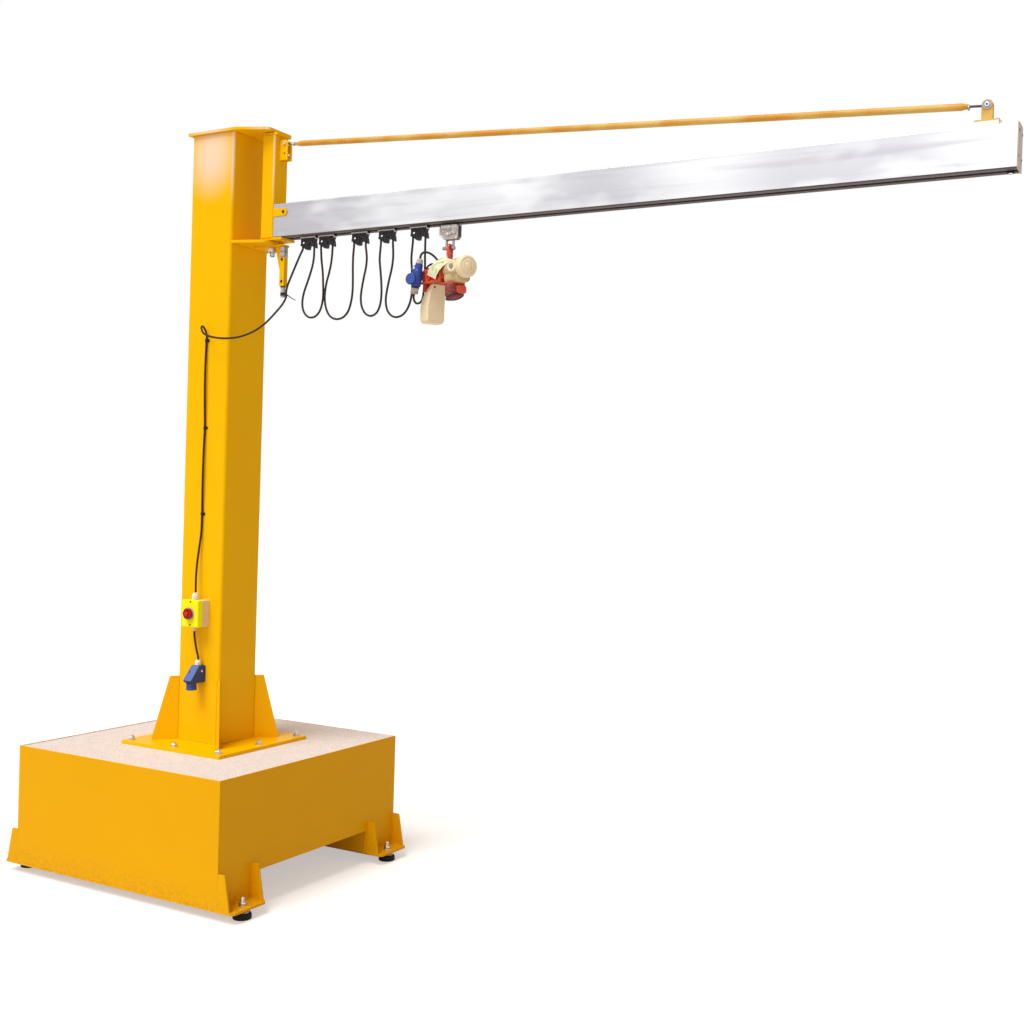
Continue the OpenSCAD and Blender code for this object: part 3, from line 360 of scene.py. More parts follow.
# Woven polyester of the chain bag: its threads are drawn at 3 mm, coarser than the real 0.5 mm,
# and the light catches single ones as pale specks
bag_cloth = finish("woven_burgundy_polyester", ("#74302F", "#934340"), 10, (0.7, 0.85), 3, 0.25,
                   shine=0.15, Sheen_Weight=0.1, Sheen_Roughness=0.5)
overlay(bag_cloth, "#B98078", specks(7, 0.60, 0.68, (0.5, 1, 1)))


# ------------------------------------------------------------------ solids

def turned(profile, sides=40):
    """A solid turned round Z from (radius, height) pairs, closed to the axis at its ends."""
    ends = [[(0, z)] if r else [] for r, z in (profile[0], profile[-1])]
    verts, rows, faces = [], [], []
    for r, z in ends[0] + list(profile) + ends[1]:
        count = sides if r > 1e-6 else 1
        rows.append([len(verts) + k for k in range(count)])
        verts += [(r * math.cos(2 * math.pi * k / sides), r * math.sin(2 * math.pi * k / sides), z)
                  for k in range(count)]
    for a, b in zip(rows, rows[1:]):
        for k in range(sides):
            ring = [a[k % len(a)], a[(k + 1) % len(a)], b[(k + 1) % len(b)], b[k % len(b)]]
            ring = list(dict.fromkeys(ring))
            if len(ring) > 2:
                faces.append(ring)
    return verts, faces


def pin(r, low, high, sides=24):
    """A straight round solid."""
    return turned([(r, low), (r, high)], sides)


def loft(rings, closed=False):
    """A skin over rings of as many points each, capped unless it closes on itself."""
    n = len(rings[0])
    verts = [p for ring in rings for p in ring]
    faces = []
    for i in range(len(rings) - (0 if closed else 1)):
        a, b = i * n, (i + 1) % len(rings) * n
        faces += [(a + k, a + (k + 1) % n, b + (k + 1) % n, b + k) for k in range(n)]
    if not closed:
        faces += [tuple(reversed(range(n))), tuple(range(len(verts) - n, len(verts)))]
    return verts, faces


def prism(outline, low, high):
    """A straight solid on an outline in XY."""
    return loft([[(x, y, z) for x, y in outline] for z in (low, high)])


def block(low, high):
    return prism([(low[0], low[1]), (high[0], low[1]), (high[0], high[1]), (low[0], high[1])],
                 low[2], high[2])


def rounded(length, width, radius, z=0.0, centre=(0, 0), steps=5):
    """A ring round a rectangle with round corners."""
    ring = []
    for quarter, (sx, sy) in enumerate(((1, 1), (-1, 1), (-1, -1), (1, -1))):
        for k in range(steps + 1):
            a = math.pi / 2 * (quarter + k / steps)
            ring.append((centre[0] + sx * (length / 2 - radius) + radius * math.cos(a),
                         centre[1] + sy * (width / 2 - radius) + radius * math.sin(a), z))
    return ring


def slab(length, width, radius, levels, centre=(0, 0)):
    """A plate with round corners between two levels."""
    return loft([rounded(length, width, radius, z, centre) for z in levels])


def smooth(points, steps=4):
    """Points on a smooth curve through the given ones."""
    points = [Vector(p) for p in points]
    found = []
    for i in range(len(points) - 1):
        a, b = points[max(i - 1, 0)], points[i]
        c, d = points[i + 1], points[min(i + 2, len(points) - 1)]
        for t in [k / steps for k in range(steps)]:
            found.append(0.5 * ((2 * b) + (c - a) * t + (2 * a - 5 * b + 4 * c - d) * t * t
                                + (3 * b - a - 3 * c + d) * t ** 3))
    return found + [points[-1]]


def tube(points, radius, sides=12, closed=False):
    """A round tube along points, its rings carried along without a twist."""
    points = [Vector(p) for p in points]
    n = len(points)
    rings, across = [], None
    for i, p in enumerate(points):
        ends = (points[(i - 1) % n], points[(i + 1) % n]) if closed else (
            points[max(i - 1, 0)], points[min(i + 1, n - 1)])
        run = (ends[1] - ends[0]).normalized()
        if across is None:
            across = run.orthogonal()
        across = (across - run * across.dot(run)).normalized()
        other = run.cross(across)
        r = radius(i / (n - 1)) if callable(radius) else radius
        rings.append([p + r * (across * math.cos(2 * math.pi * k / sides)
                               + other * math.sin(2 * math.pi * k / sides))
                      for k in range(sides)])
    return loft(rings, closed)


def part(node):
    """A CAD part's own solid, its triangles joined up again."""
    mesh = bmesh.new()
    mesh.from_mesh(cad[node].data)
    bmesh.ops.remove_doubles(mesh, verts=mesh.verts, dist=1e-5)
    bmesh.ops.dissolve_limit(mesh, angle_limit=math.radians(0.3), verts=mesh.verts,
                             edges=mesh.edges)
    mesh.verts.ensure_lookup_table()
    found = ([tuple(v.co / MM) for v in mesh.verts],
             [[v.index for v in f.verts] for f in mesh.faces])
    mesh.free()
    return found


def spin(degrees, axis):
    return Matrix.Rotation(math.radians(degrees), 4, axis)


def at(x=0, y=0, z=0, turn=0):
    return Matrix.Translation((x, y, z)) @ spin(turn, "Z")


# What is turned about Z, laid along X or facing the switch's side
lying, facing = spin(90, "Y"), spin(90, "X")
# Edges that turn by more than this many degrees are rounded
SHARP = 34


def build(name, body, parts, instead=(), edge=0.0):
    """One piece from (solid, place, finish) rows in millimetres, with its sharp edges rounded.

    A finish may be a function that picks one by the middle of a face."""
    mesh = bmesh.new()
    finishes = []
    for (verts, faces), place, skin in parts:
        solid = bmesh.new()
        made = [solid.verts.new((place @ Vector(v)) * MM) for v in verts]
        for face in faces:
            if len(set(face)) > 2:
                solid.faces.new([made[i] for i in face])
        bmesh.ops.recalc_face_normals(solid, faces=solid.faces)
        for face in solid.faces:
            chosen = skin(face.calc_center_median() / MM) if callable(skin) else skin
            if chosen not in finishes:
                finishes.append(chosen)
            face.material_index = finishes.index(chosen)
            face.smooth = True
        holder = bpy.data.meshes.new("part")
        solid.to_mesh(holder)
        mesh.from_mesh(holder)
        bpy.data.meshes.remove(holder)
        solid.free()
    data = bpy.data.meshes.new(name)
    mesh.to_mesh(data)
    mesh.free()
    piece = placed(name, data)
    for skin in finishes:
        data.materials.append(skin)
    if edge:
        rounding = piece.modifiers.new("rounding", "BEVEL")
        rounding.width = edge * MM
        rounding.segments = 2
        rounding.limit_method = "ANGLE"
        rounding.angle_limit = math.radians(SHARP)
        rounding.use_clamp_overlap = False
    shading = piece.modifiers.new("shading", "WEIGHTED_NORMAL")
    shading.weight = 60
    if body:
        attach(piece, body)
    if instead:
        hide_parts(*instead)
    return piece


def dressed(node, skin, edge=0.8, more=()):
    """A CAD part in its finish, with rounded edges and any smaller parts that it carries."""
    return build("finished_" + node, cad[node]["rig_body"],
                 [(part(node), HERE, skin), *more], [node], edge)


# ------------------------------------------------------------------- cords

CABLE = 9
CARRIAGE = "hoist_carriage"


def cord(node, route, bodies):
    """A length of the supply cable along its route, in millimetres. With one body it rides on that
    body; with two it passes from the first to the second and rides on neither."""
    path = smooth(route)
    piece = build(node + "_sheath", None if len(bodies) == 2 else bodies[0],
                  [(tube(path, CABLE / 2), HERE, sheath)], [node])
    if len(bodies) == 2:
        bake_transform(piece)


cord("feed_cable", [
    (0, -126, 2330), (0, -126, 2342), (0, -131, 2357), (1, -141, 2370), (4, -153, 2377),
    (10, -166, 2376), (17, -177, 2368), (28, -184, 2355), (39, -188, 2344), (54, -188, 2335),
    (74, -184, 2328), (98, -175, 2323), (124, -161, 2321), (150, -143, 2323), (176, -123, 2329),
    (201, -103, 2340), (226, -83, 2356), (251, -64, 2378), (275, -46, 2406), (297, -29, 2439),
    (313, -16, 2465), (325, -5, 2490), (333, 0, 2513), (333, 0, 2527)], ["stand"])
cord("lead_in_cable", [
    (333, 0, 2527), (333, 0, 2541), (341, 0, 2566), (357, 0, 2598), (376, 0, 2636),
    (395, 0, 2672), (408, 0, 2696), (417, 0, 2711), (419, 0, 2724)], ["stand", "jib"])
# The hanging loops, each as (X, Z) pairs under the jib, and the stretch that its bodies share
CARRIERS = ("jib", "trolley_2", "trolley_3", "trolley_4", CARRIAGE)
for number, (shared, route) in enumerate((
        ((485.5, 512), (
            (480, 2720), (480, 2702), (479, 2670), (472, 2635), (460, 2600), (446, 2565),
            (432, 2530), (424, 2495), (426, 2460), (442, 2432), (468, 2418), (496, 2422),
            (518, 2442), (531, 2475), (535, 2515), (533, 2560), (529, 2610), (521, 2660),
            (517, 2704), (517, 2724))),
        ((583, 683), (
            (578, 2720), (578, 2702), (574, 2650), (564, 2605), (552, 2565), (545, 2525),
            (545, 2485), (556, 2445), (578, 2417), (610, 2405), (645, 2412), (670, 2436),
            (684, 2475), (690, 2520), (690, 2565), (688, 2615), (688, 2665), (691, 2704),
            (691, 2724))),
        ((765, 819), (
            (752, 2720), (752, 2702), (759, 2655), (756, 2615), (747, 2575), (739, 2535),
            (734, 2495), (739, 2455), (758, 2424), (787, 2411), (816, 2422), (833, 2452),
            (839, 2495), (837, 2545), (831, 2595), (825, 2645), (829, 2704), (829, 2724))),
        ((899, 978), (
            (890, 2720), (890, 2702), (893, 2650), (888, 2605), (877, 2560), (867, 2515),
            (862, 2470), (872, 2430), (896, 2406), (926, 2401), (956, 2414), (978, 2444),
            (990, 2485), (992, 2535), (988, 2590), (984, 2640), (989, 2704), (989, 2724))))):
    cord(f"cable_loop_{number + 1}", [(x, 0, z) for x, z in route],
         CARRIERS[number:number + 2])
cord("coupler_cable", [
    (1050, 0, 2720), (1050, 0, 2702), (1046, 6, 2675), (1037, 20, 2640), (1026, 38, 2603),
    (1018, 48, 2565), (1012, 55, 2528), (1008, 58, 2500), (1006, 57, 2482), (1004, 50, 2468),
    (1002, 37, 2459), (1003, 22, 2456), (1005, 8, 2457), (1007.4, -3, 2461.5),
    (1009, -10.5, 2469), (1010.3, -14, 2478.2), (1012, -14, 2488)], [CARRIAGE])
cord("hoist_cable", [
    (1037, -14, 2629.8), (1038.7, -14, 2639.6), (1042, -12, 2649), (1050, -7, 2655.5),
    (1061, -1, 2656), (1073, 6, 2651), (1085, 12, 2642), (1095, 17, 2631), (1102, 20, 2620),
    (1105, 21, 2610), (1105, 21, 2598)], [CARRIAGE])

# The cable on the column's face is clipped down, so it doesn't hang
column_runs = (
    [(0, -150, 1209), (0, -150, 1235), (-2, -148, 1280), (-4, -142, 1340), (-2, -134, 1410),
     (2, -128, 1480), (2, -126, 1552), (2, -126, 1572), (3, -129, 1680), (4, -130, 1760),
     (4, -129, 1840), (4, -126, 1928), (4, -126, 1948), (2, -129, 2060), (1, -130, 2130),
     (0, -129, 2210), (0, -126, 2309), (0, -126, 2330)],
    [(0, -150, 1051), (0, -150, 1035), (3, -149, 1012), (11, -146, 970), (18, -142, 938),
     (18, -142, 922)])
# Its reddish brown tint is a painted reflection of the yellow column
build("column_cable_sheath", "stand",
      [(tube(smooth(run), CABLE / 2), HERE, sheath_painted_reflection) for run in column_runs],
      ["column_cable"])


# -------------------------------------------------------------- small parts

def tree_with(name, *sizes):
    """A geometry tree with sizes and a finish as its inputs, and the node that gives them."""
    tree = bpy.data.node_groups.new(name, "GeometryNodeTree")
    for key, way, kind in (("Geometry", "INPUT", "Geometry"),
                           *[(size, "INPUT", "Float") for size in sizes],
                           ("Finish", "INPUT", "Material"), ("Geometry", "OUTPUT", "Geometry")):
        tree.interface.new_socket(key, in_out=way, socket_type="NodeSocket" + kind)
    return tree, tree.nodes.new("NodeGroupInput").outputs


def ended(tree, mesh, given):
    """The tree, with its finish set and its output joined up."""
    real = output(tree, "GeometryNodeRealizeInstances", {0: mesh})
    done = output(tree, "GeometryNodeSetMaterial", {"Geometry": real, "Material": given["Finish"]})
    add(tree, "NodeGroupOutput", {0: done})
    return tree


def bolt_tree():
    """Hex heads with a washer and a stud's end, one on each point, each turned its own way."""
    tree, given = tree_with("hex_bolts", "Across Flats", "Head Height", "Washer Diameter",
                            "Washer Thickness", "Stud Diameter", "Stud Length")
    seat, high = given["Washer Thickness"], given["Head Height"]

    def times(a, b):
        return calc(tree, "MULTIPLY", a, b)

    def plus(a, b):
        return calc(tree, "ADD", a, b)

    def round_bar(sides, across, share, depth):
        return add(tree, "GeometryNodeMeshCylinder", {
            "Vertices": sides, "Radius": times(given[across], share), "Depth": depth}).outputs

    def raised(mesh, height):
        shift = output(tree, "ShaderNodeCombineXYZ", {2: height})
        return output(tree, "GeometryNodeTransform", {"Geometry": mesh, "Translation": shift})

    washer = round_bar(24, "Washer Diameter", 0.5, seat)["Mesh"]
    head = round_bar(6, "Across Flats", 0.577, times(high, 0.84))
    crown = add(tree, "GeometryNodeExtrudeMesh", {
        "Mesh": head["Mesh"], "Selection": head["Top"], "Offset Scale": times(high, 0.16)}).outputs
    crown = output(tree, "GeometryNodeScaleElements", {
        "Geometry": crown["Mesh"], "Selection": crown["Top"], "Scale": 0.87})
    stud = round_bar(16, "Stud Diameter", 0.5, given["Stud Length"])["Mesh"]
    bolt = add(tree, "GeometryNodeJoinGeometry", {})
    for mesh in (raised(washer, times(seat, 0.5)),
                 raised(crown, plus(seat, times(high, 0.42))),
                 raised(stud, plus(seat, plus(times(given["Stud Length"], 0.5),
                                              times(high, 0.5))))):
        tree.links.new(mesh, bolt.inputs[0])
    aim = output(tree, "GeometryNodeInputNamedAttribute", {"data_type": "FLOAT_VECTOR",
                                                        "Name": "aim"})
    stand = output(tree, "FunctionNodeAlignRotationToVector", {"axis": "Z", "Vector": aim})
    angle = output(tree, "FunctionNodeRandomValue", {"data_type": "FLOAT", 2: 0.0, 3: 3.14,
                                                  "Seed": 7}, 1)
    own_turn = output(tree, "FunctionNodeAxisAngleToRotation", {"Angle": angle})
    stand = output(tree, "FunctionNodeRotateRotation", {"rotation_space": "LOCAL", 0: stand,
                                                     1: own_turn})
    return ended(tree, output(tree, "GeometryNodeInstanceOnPoints", {
        "Points": given["Geometry"], "Instance": bolt.outputs[0], "Rotation": stand}), given)


def bead_tree():
    """A rippled weld bead along each edge."""
    tree, given = tree_with("weld_beads", "Radius", "Ripple")
    line = output(tree, "GeometryNodeMeshToCurve", {0: given["Geometry"]})
    line = output(tree, "GeometryNodeResampleCurve", {
        "mode": "LENGTH", "Curve": line, "Length": calc(tree, "MULTIPLY", given["Ripple"], 0.5)})
    odd = calc(tree, "MODULO", output(tree, "GeometryNodeInputIndex", {}), 2.0)
    swell = calc(tree, "MULTIPLY_ADD", odd, 0.22, 0.84)
    width = calc(tree, "MULTIPLY", swell, given["Radius"])
    ring = output(tree, "GeometryNodeCurvePrimitiveCircle", {"Resolution": 8, "Radius": 1.0})
    return ended(tree, output(tree, "GeometryNodeCurveToMesh", {
        "Curve": line, "Profile Curve": ring, "Scale": width, "Fill Caps": True}), given)


def grown(name, body, tree, host, values, smooth_shaded):
    """The mesh that a geometry tree grows on a host mesh, as a piece on a body."""
    holder = placed("holder", host)
    growth = holder.modifiers.new("growth", "NODES")
    growth.node_group = tree
    sockets = {s.name: s.identifier for s in tree.interface.items_tree
               if s.item_type == "SOCKET" and s.in_out == "INPUT"}
    for key, value in values.items():
        growth[sockets[key]] = value
    graph = bpy.context.evaluated_depsgraph_get()
    mesh = bpy.data.meshes.new_from_object(holder.evaluated_get(graph), depsgraph=graph)
    bpy.data.objects.remove(holder)
    mesh.name = name
    for face in mesh.polygons:
        face.use_smooth = smooth_shaded
    piece = placed(name, mesh)
    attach(piece, body)


BOLTS, BEADS = bolt_tree(), bead_tree()


def bolts(name, body, places, flats, head, washer, thick, stud, length, skin=zinc):
    """Bolts at (point, direction) places; every size is in millimetres."""
    host = bpy.data.meshes.new(name)
    host.from_pydata([Vector(p) * MM for p, _ in places], [], [])
    aims = host.attributes.new("aim", "FLOAT_VECTOR", "POINT")
    aims.data.foreach_set("vector", [c for _, aim in places for c in aim])
    sizes = {"Across Flats": flats, "Head Height": head, "Washer Diameter": washer,
             "Washer Thickness": thick, "Stud Diameter": stud, "Stud Length": length}
    grown(name, body, BOLTS, host, {**{key: size * MM for key, size in sizes.items()},
                                    "Finish": skin}, False)


def welds(name, body, lines, radius=2.6, ripple=5.0):
    """Weld beads along lines of points, in millimetres."""
    host = bpy.data.meshes.new(name)
    points, edges = [], []
    for line in lines:
        edges += [(len(points) + i, len(points) + i + 1) for i in range(len(line) - 1)]
        points += [Vector(p) * MM for p in line]
    host.from_pydata(points, edges, [])
    grown(name, body, BEADS, host, {"Radius": radius * MM, "Ripple": ripple * MM,
                                    "Finish": shaded_paint}, True)


def thread(r, low, high, pitch=2.0):
    """The profile of a threaded rod between two heights, crests at r."""
    rows, z = [], low
    while z + pitch <= high:
        rows += [(r - 1.0, z + 0.15 * pitch), (r, z + 0.4 * pitch), (r, z + 0.65 * pitch),
                 (r - 1.0, z + 0.9 * pitch)]
        z += pitch
    return rows


def hex_nut(r, low, high):
    """Hexagon with its corners turned off at both ends; r is to its corners."""
    return turned([(r * 0.88, low), (r, low + 1.6), (r, high - 1.6), (r * 0.88, high)], 6)


# -------------------------------------------------------------------- base

rim = box("side_walls")[1].z
FAR_RIM_X, FAR_RIM_Y = (-567, -540), (558, 577)


def casing_skin(c):
    """Painted sheet; its near rims carry a painted highlight, its far rims and inner faces are
    dusted grey.
    """
    if FAR_RIM_X[0] < c.x < FAR_RIM_X[1] or FAR_RIM_Y[0] < c.y < FAR_RIM_Y[1]:
        return concrete
    return shaded_paint if c.z < rim - 0.6 else concrete if c.x < -560 or c.y > 560 else rim_highlight_paint


for node, edge in (("side_walls", 1.0), ("end_walls", 0.8), ("tunnel_lining", 0.8),
                   ("skids", 1.0)):
    dressed(node, casing_skin if node.endswith("walls") else shaded_paint, edge)
dressed("counterweight", concrete, 2.0)

half_l = box("end_walls")[1].x
foot_x = (box("skids")[1].x + half_l) / 2
SKID_WIDTH, SKID_TOP = 200, 50
foot_y = box("side_walls")[1].y - SKID_WIDTH / 2
feet = [(x, y) for x in (-foot_x, foot_x) for y in (-foot_y, foot_y)]
foot_r = box("rubber_feet")[1].x - foot_x
foot_h = box("rubber_feet")[1].z
build("ribbed_rubber_feet", "stand", [(turned(
    [(foot_r - 3, 0), (foot_r - 0.6, 1.2), (foot_r, 3), (foot_r, 6.5), (foot_r - 1.6, 7.5),
     (foot_r - 1.6, 9), (foot_r, 10), (foot_r, 14), (foot_r - 1.6, 15), (foot_r - 1.6, 16.5),
     (foot_r - 0.4, 17.5), (foot_r - 4, foot_h - 2), (foot_r - 7, foot_h)], 56),
    at(x, y), rubber) for x, y in feet], ["rubber_feet"])

stud_top = box("foot_studs")[1].z
build("levelling_studs", "stand", [row for x, y in feet for row in (
    (turned([(27, foot_h), (28, foot_h + 1), (24, foot_h + 5), (15, foot_h + 10), (13.5, 40)],
            48), at(x, y), zinc),
    (turned([(7, 39), *thread(8, 40, stud_top - 3), (6.6, stud_top)], 24), at(x, y), zinc),
    (turned([(16, SKID_TOP), (16.5, SKID_TOP + 0.8), (16, SKID_TOP + 2.4)], 32), at(x, y), zinc),
    (hex_nut(15, SKID_TOP + 2.4, SKID_TOP + 15), at(x, y, 0, 20 + x / 7), zinc))],
    ["foot_studs"])

RIB_TOP, RIB_REACH, SEAM_Z = 188, 58, SKID_TOP + 1
rib_lines = []
for sx in SIDES:
    for sy in SIDES:
        for hand in SIDES:
            y = sy * foot_y + hand * (SKID_WIDTH - 8) / 2 - hand * 5
            rib_lines.append([(sx * (half_l + 1.5), y, RIB_TOP), (sx * (half_l + 1.5), y, SEAM_Z),
                              (sx * (half_l + RIB_REACH), y, SEAM_Z)])
        rib_lines.append([(sx * (half_l + 1), sy * foot_y + end, SEAM_Z) for end in (-84, 84)])
welds("rib_welds", "stand", rib_lines)

# ------------------------------------------------------------------ column

for node, edge in (("base_plate", 1.2), ("corner_gussets", 0.8), ("column", 0.6),
                   ("nose_plates", 1.0)):
    dressed(node, column_paint, edge)
plate = box("base_plate")
top = plate[1].z
reach = plate[1].x - 34
bolts("anchor_bolts", "stand",
      [((x, y, top), (0, 0, 1)) for x in (-reach, 0, reach) for y in (-reach, 0, reach)
       if x or y], 24, 11, 34, 3, 15, 12)
face = box("column")[1].x
foot_ring = [(x, y, top + 1) for x, y, _ in rounded(2 * face + 2, 2 * face + 2, 16)]
head_z = box("column")[1].z - 1
guide = box("cable_guide")
bearing = guide[1].z
column_lines = [foot_ring + foot_ring[:1],
                [(x, y, head_z) for x, y, _ in foot_ring + foot_ring[:1]],
                *[[(face + 1, -116, z), (face + 1, 116, z)] for z in (bearing - 1, bearing + 13)]]
for sx in SIDES:
    for sy in SIDES:
        for hand in SIDES:
            run = Vector((sx, sy, 0)).normalized()
            beside = Vector((-run.y, run.x, 0)) * hand * 6
            column_lines.append([(*(run * r + beside).xy, z) for r, z in (
                (164, top + 278), (164, top + 1), (270, top + 1))])
welds("column_welds", "stand", column_lines)

# The pins that the yoke turns on: the lower one ends in a nut and its thread
pins = box("pivot_pins")
pivot, low_z = (pins[0].x + pins[1].x) / 2, pins[0].z
build("pivot_bolts", "stand", [
    (part("pivot_pins"), HERE, zinc),
    (hex_nut(20.4, low_z + 18, low_z + 38), at(pivot, 0, 0, 8), zinc),
    (turned([(10, low_z), *thread(11.6, low_z + 0.5, low_z + 18), (0, low_z + 18.5)], 24),
     at(pivot, 0), zinc)], ["pivot_pins"], 0.5)

# The cable guide: a square tube under two nuts, and a sleeve that the cable leaves
tube_x = guide[1].x - 12
sleeve_low = guide[0].z
tube_low = sleeve_low + 68
build("finished_cable_guide", "stand", [
    (part("cable_guide"), HERE, lambda c: column_paint if c.z > tube_low + 0.5 else grey_ring),
    *[(hex_nut(18.4, bearing - z - 22, bearing - z), at(tube_x, 0, 0, 14), shackle_steel)
      for z in (8.2, 32)],
    (block((tube_x - 12.5, -12.5, tube_low - 20), (tube_x + 12.5, 12.5, tube_low + 2)), HERE,
     column_paint),
    (turned([(11, tube_low - 26), (11.8, tube_low - 25), (11.8, tube_low - 19)], 32),
     at(tube_x, 0), nylon),
    (turned([(10.6, sleeve_low + 12), (11, sleeve_low + 13), (11, sleeve_low + 20)], 32),
     at(tube_x, 0), nylon)], ["cable_guide"], 0.6)
bolts("guide_screws", "stand",
      [((tube_x, -12.4, z), (0, -1, 0)) for z in (bearing - 64, tube_low)],
      8, 4, 11, 1, 4, 4, dark_steel)
# Saddles on the column's face, and the tie whose long tail points down and away
tie_x = box("cable_clips")[1].x
dressed("cable_clips", nylon, 0.5, [
    (tube(smooth([(tie_x - 3, -4, sleeve_low + 9), (tie_x + 12, -7, sleeve_low + 4),
                  (tie_x + 34, -11, sleeve_low - 8), (tie_x + 58, -14, sleeve_low - 19)]),
          lambda t: 2.6 - 0.8 * t, 8), HERE, nylon)])

# ------------------------------------------------------- switch and inlet

switch, knob = box("switch_box"), box("switch_knob")
mid = (switch[0] + switch[1]) / 2
width, height = switch[1].x - switch[0].x, switch[1].z - switch[0].z
split = switch[0].y + 29
lid_y, back_y = switch[0].y, switch[1].y


def case(low_y, high_y, inset, r, skin):
    """A moulded half of the switch box between two depths."""
    rings = [rounded(width - 2 * i, height - 2 * i, r, y) for y, i in (
        (low_y, inset + 2.5), (low_y + 2.5, inset + 0.6), (low_y + 6, inset), (high_y, inset))]
    return ([(mid.x + x, z, mid.z + y) for ring in rings for x, y, z in ring],
            loft(rings)[1]), HERE, skin


build("switch_housing", "stand", [
    case(lid_y, split - 0.8, 0, 5, lid_yellow),
    case(split - 1.6, split + 1.6, 2.2, 4, seal),
    case(split + 0.8, back_y, 0.8, 4, beige),
    (turned([(28, -2), (28, 0.1), (27, 0.25)], 48), at(mid.x, lid_y, mid.z) @ facing, beige),
    *[(turned([(4.4, -1), (4.4, 0.5), (3.6, 0.9)], 20), at(mid.x + 3, lid_y, mid.z + s) @ facing,
       dark_steel) for s in (51.5, -49)],
    *[(block((mid.x - width / 2 - 0.4, back_y - 4, mid.z + s * 40 - 7),
             (mid.x + width / 2 + 0.4, back_y, mid.z + s * 40 + 7)), HERE, beige)
      for s in SIDES]], ["switch_box"], 0.4)
knob_r = (knob[1].x - knob[0].x) / 2
knob_at = at((knob[1].x + knob[0].x) / 2, knob[1].y - 12, mid.z) @ facing
scallop = [(r * math.cos(a), r * math.sin(a)) for a, r in (
    (2 * math.pi * k / 72, knob_r * (0.97 + 0.03 * math.cos(12 * math.pi * k / 72)))
    for k in range(72))]
build("rotary_switch_knob", "knob", [
    (turned([(knob_r - 6, 0.3), (knob_r - 6, 8), (knob_r - 5, 9)], 48), knob_at, red),
    (loft([[(x * s, y * s, z) for x, y in scallop] for z, s in (
        (8, 0.94), (9.5, 1), (15, 1), (17.6, 0.96), (18.6, 0.86))]), knob_at, red),
    (loft([rounded(2 * knob_r - 6, 12, 5, 18), rounded(2 * knob_r - 7, 10, 4.4, 21.6)]),
     knob_at @ spin(90, "Z"), red),
    (turned([(9, 18), (9, 22.4), (8, 23.4), (0, 23.8)], 32), knob_at, red_centre),
    (pin(4, -12, 1), knob_at, red)], ["switch_knob"], 0.5)

GLAND_Y = -150
inlet = box("wall_inlet")
inlet_x = (inlet[0].x + inlet[1].x) / 2
screwed = [(11, 6.5), (12, 8), (11.8, 12), (10, 16.6), (7.6, 19.4), (5.2, 20)]
on_top, below = at(0, GLAND_Y, switch[1].z), at(0, GLAND_Y, switch[0].z)
on_inlet = at(inlet_x, GLAND_Y + 8, inlet[1].z)
build("cable_gland_nuts", "stand", [
    (hex_nut(16, 0, 10), on_top, white),
    (turned([(r * 1.2, z * 1.5) for r, z in screwed], 32), on_top, white),
    (hex_nut(9.6, -7, 0), below, beige),
    (turned([(5.4, -20), (7.4, -18), (8, -8), (8, -6.5)], 32), below, beige),
    (hex_nut(14.4, 0, 9), on_inlet, white),
    (turned([(r * 1.1, z * 1.2) for r, z in screwed], 32), on_inlet, white)],
    ["cable_glands"], 0.4)

# The inlet: a hood that widens outwards and down, over the round sleeve for the plug
inlet_top, inlet_back = inlet[1].z, inlet[1].y
sleeve_y = inlet_back - 58
hood_low = inlet_top - 74
sloped = at(inlet_x, inlet_back - 59, inlet_top - 26) @ spin(50.7, "X")
side_screw = at(inlet[1].x, -141, 878) @ lying
build("wall_inlet_shell", "stand", [
    # Faces on the sloped front take the lighter blue: painted light
    (part("wall_inlet"), HERE, lambda c: lit_front_blue if (
        c.y < inlet_back - 30 and hood_low + 4 < c.z < inlet_top - 1
        and abs(c.x - inlet_x) < 22) else inlet_blue),
    (turned([(20, 0), (22.6, 1.5), (23, 4), (23, 8), (22, 9.5)]),
     at(inlet_x, sleeve_y, inlet[0].z), violet),
    (turned([(22.2, 0), (23, 1), (23, 5)]), at(inlet_x, sleeve_y, hood_low - 7), violet),
    (slab(38, 60, 4, (-1, 1.2)), sloped @ at(0, -2, 0), lit_front_blue),
    (turned([(4.2, -2), (4.2, 1.8), (3.4, 2.4)], 20), sloped @ at(-10, 0, 0), dark_steel),
    (turned([(4.6, -2), (4.6, 1.4), (3.6, 2.4), (0, 2.6)], 20), side_screw, white),
    (block((inlet_x - 25.5, inlet_back - 4, hood_low + 4),
           (inlet_x + 25.5, inlet_back, inlet_top - 4)), HERE, inlet_blue)],
    ["wall_inlet"], 1.6)

# --------------------------------------------------------------------- jib

dressed("yoke", column_paint, 0.8)
beam = box("jib_beam")
beam_z, beam_top = beam[0].z, beam[1].z
TRACK_TOP = 2811
# The underside and the inside of the slot take the dark aluminium: painted shade
dressed("jib_beam", lambda c: underside_shade_aluminium if c.z < beam_z + 4.4 or abs(c.y) < 36.5 and c.z < TRACK_TOP
        else aluminium, 0.7)
tip = box("tip_bracket")
tip_x = (tip[0].x + tip[1].x) / 2
tip_bolt_z, foot_top = beam_top + 73, beam_top + 26
LUG_R = 17.5
arch = [(-LUG_R, foot_top - 1), (LUG_R, foot_top - 1)] + [
    (LUG_R * math.cos(math.pi * k / 20), tip_bolt_z + LUG_R * math.sin(math.pi * k / 20))
    for k in range(21)]
build("tip_bracket_plates", "jib", [
    *[(loft([[Vector((tip_x + x, s * 9 + y, z)) for x, z in arch] for y in (-4, 4)]), HERE,
       rod_paint) for s in SIDES],
    (block((tip[0].x, -14, foot_top - 5), (tip[1].x, 14, foot_top)), HERE, rod_paint),
    (block((tip[0].x + 1.5, -14, beam_top), (tip[1].x - 1.5, 14, foot_top - 5)), HERE,
     pad_white)], ["tip_bracket"], 0.7)
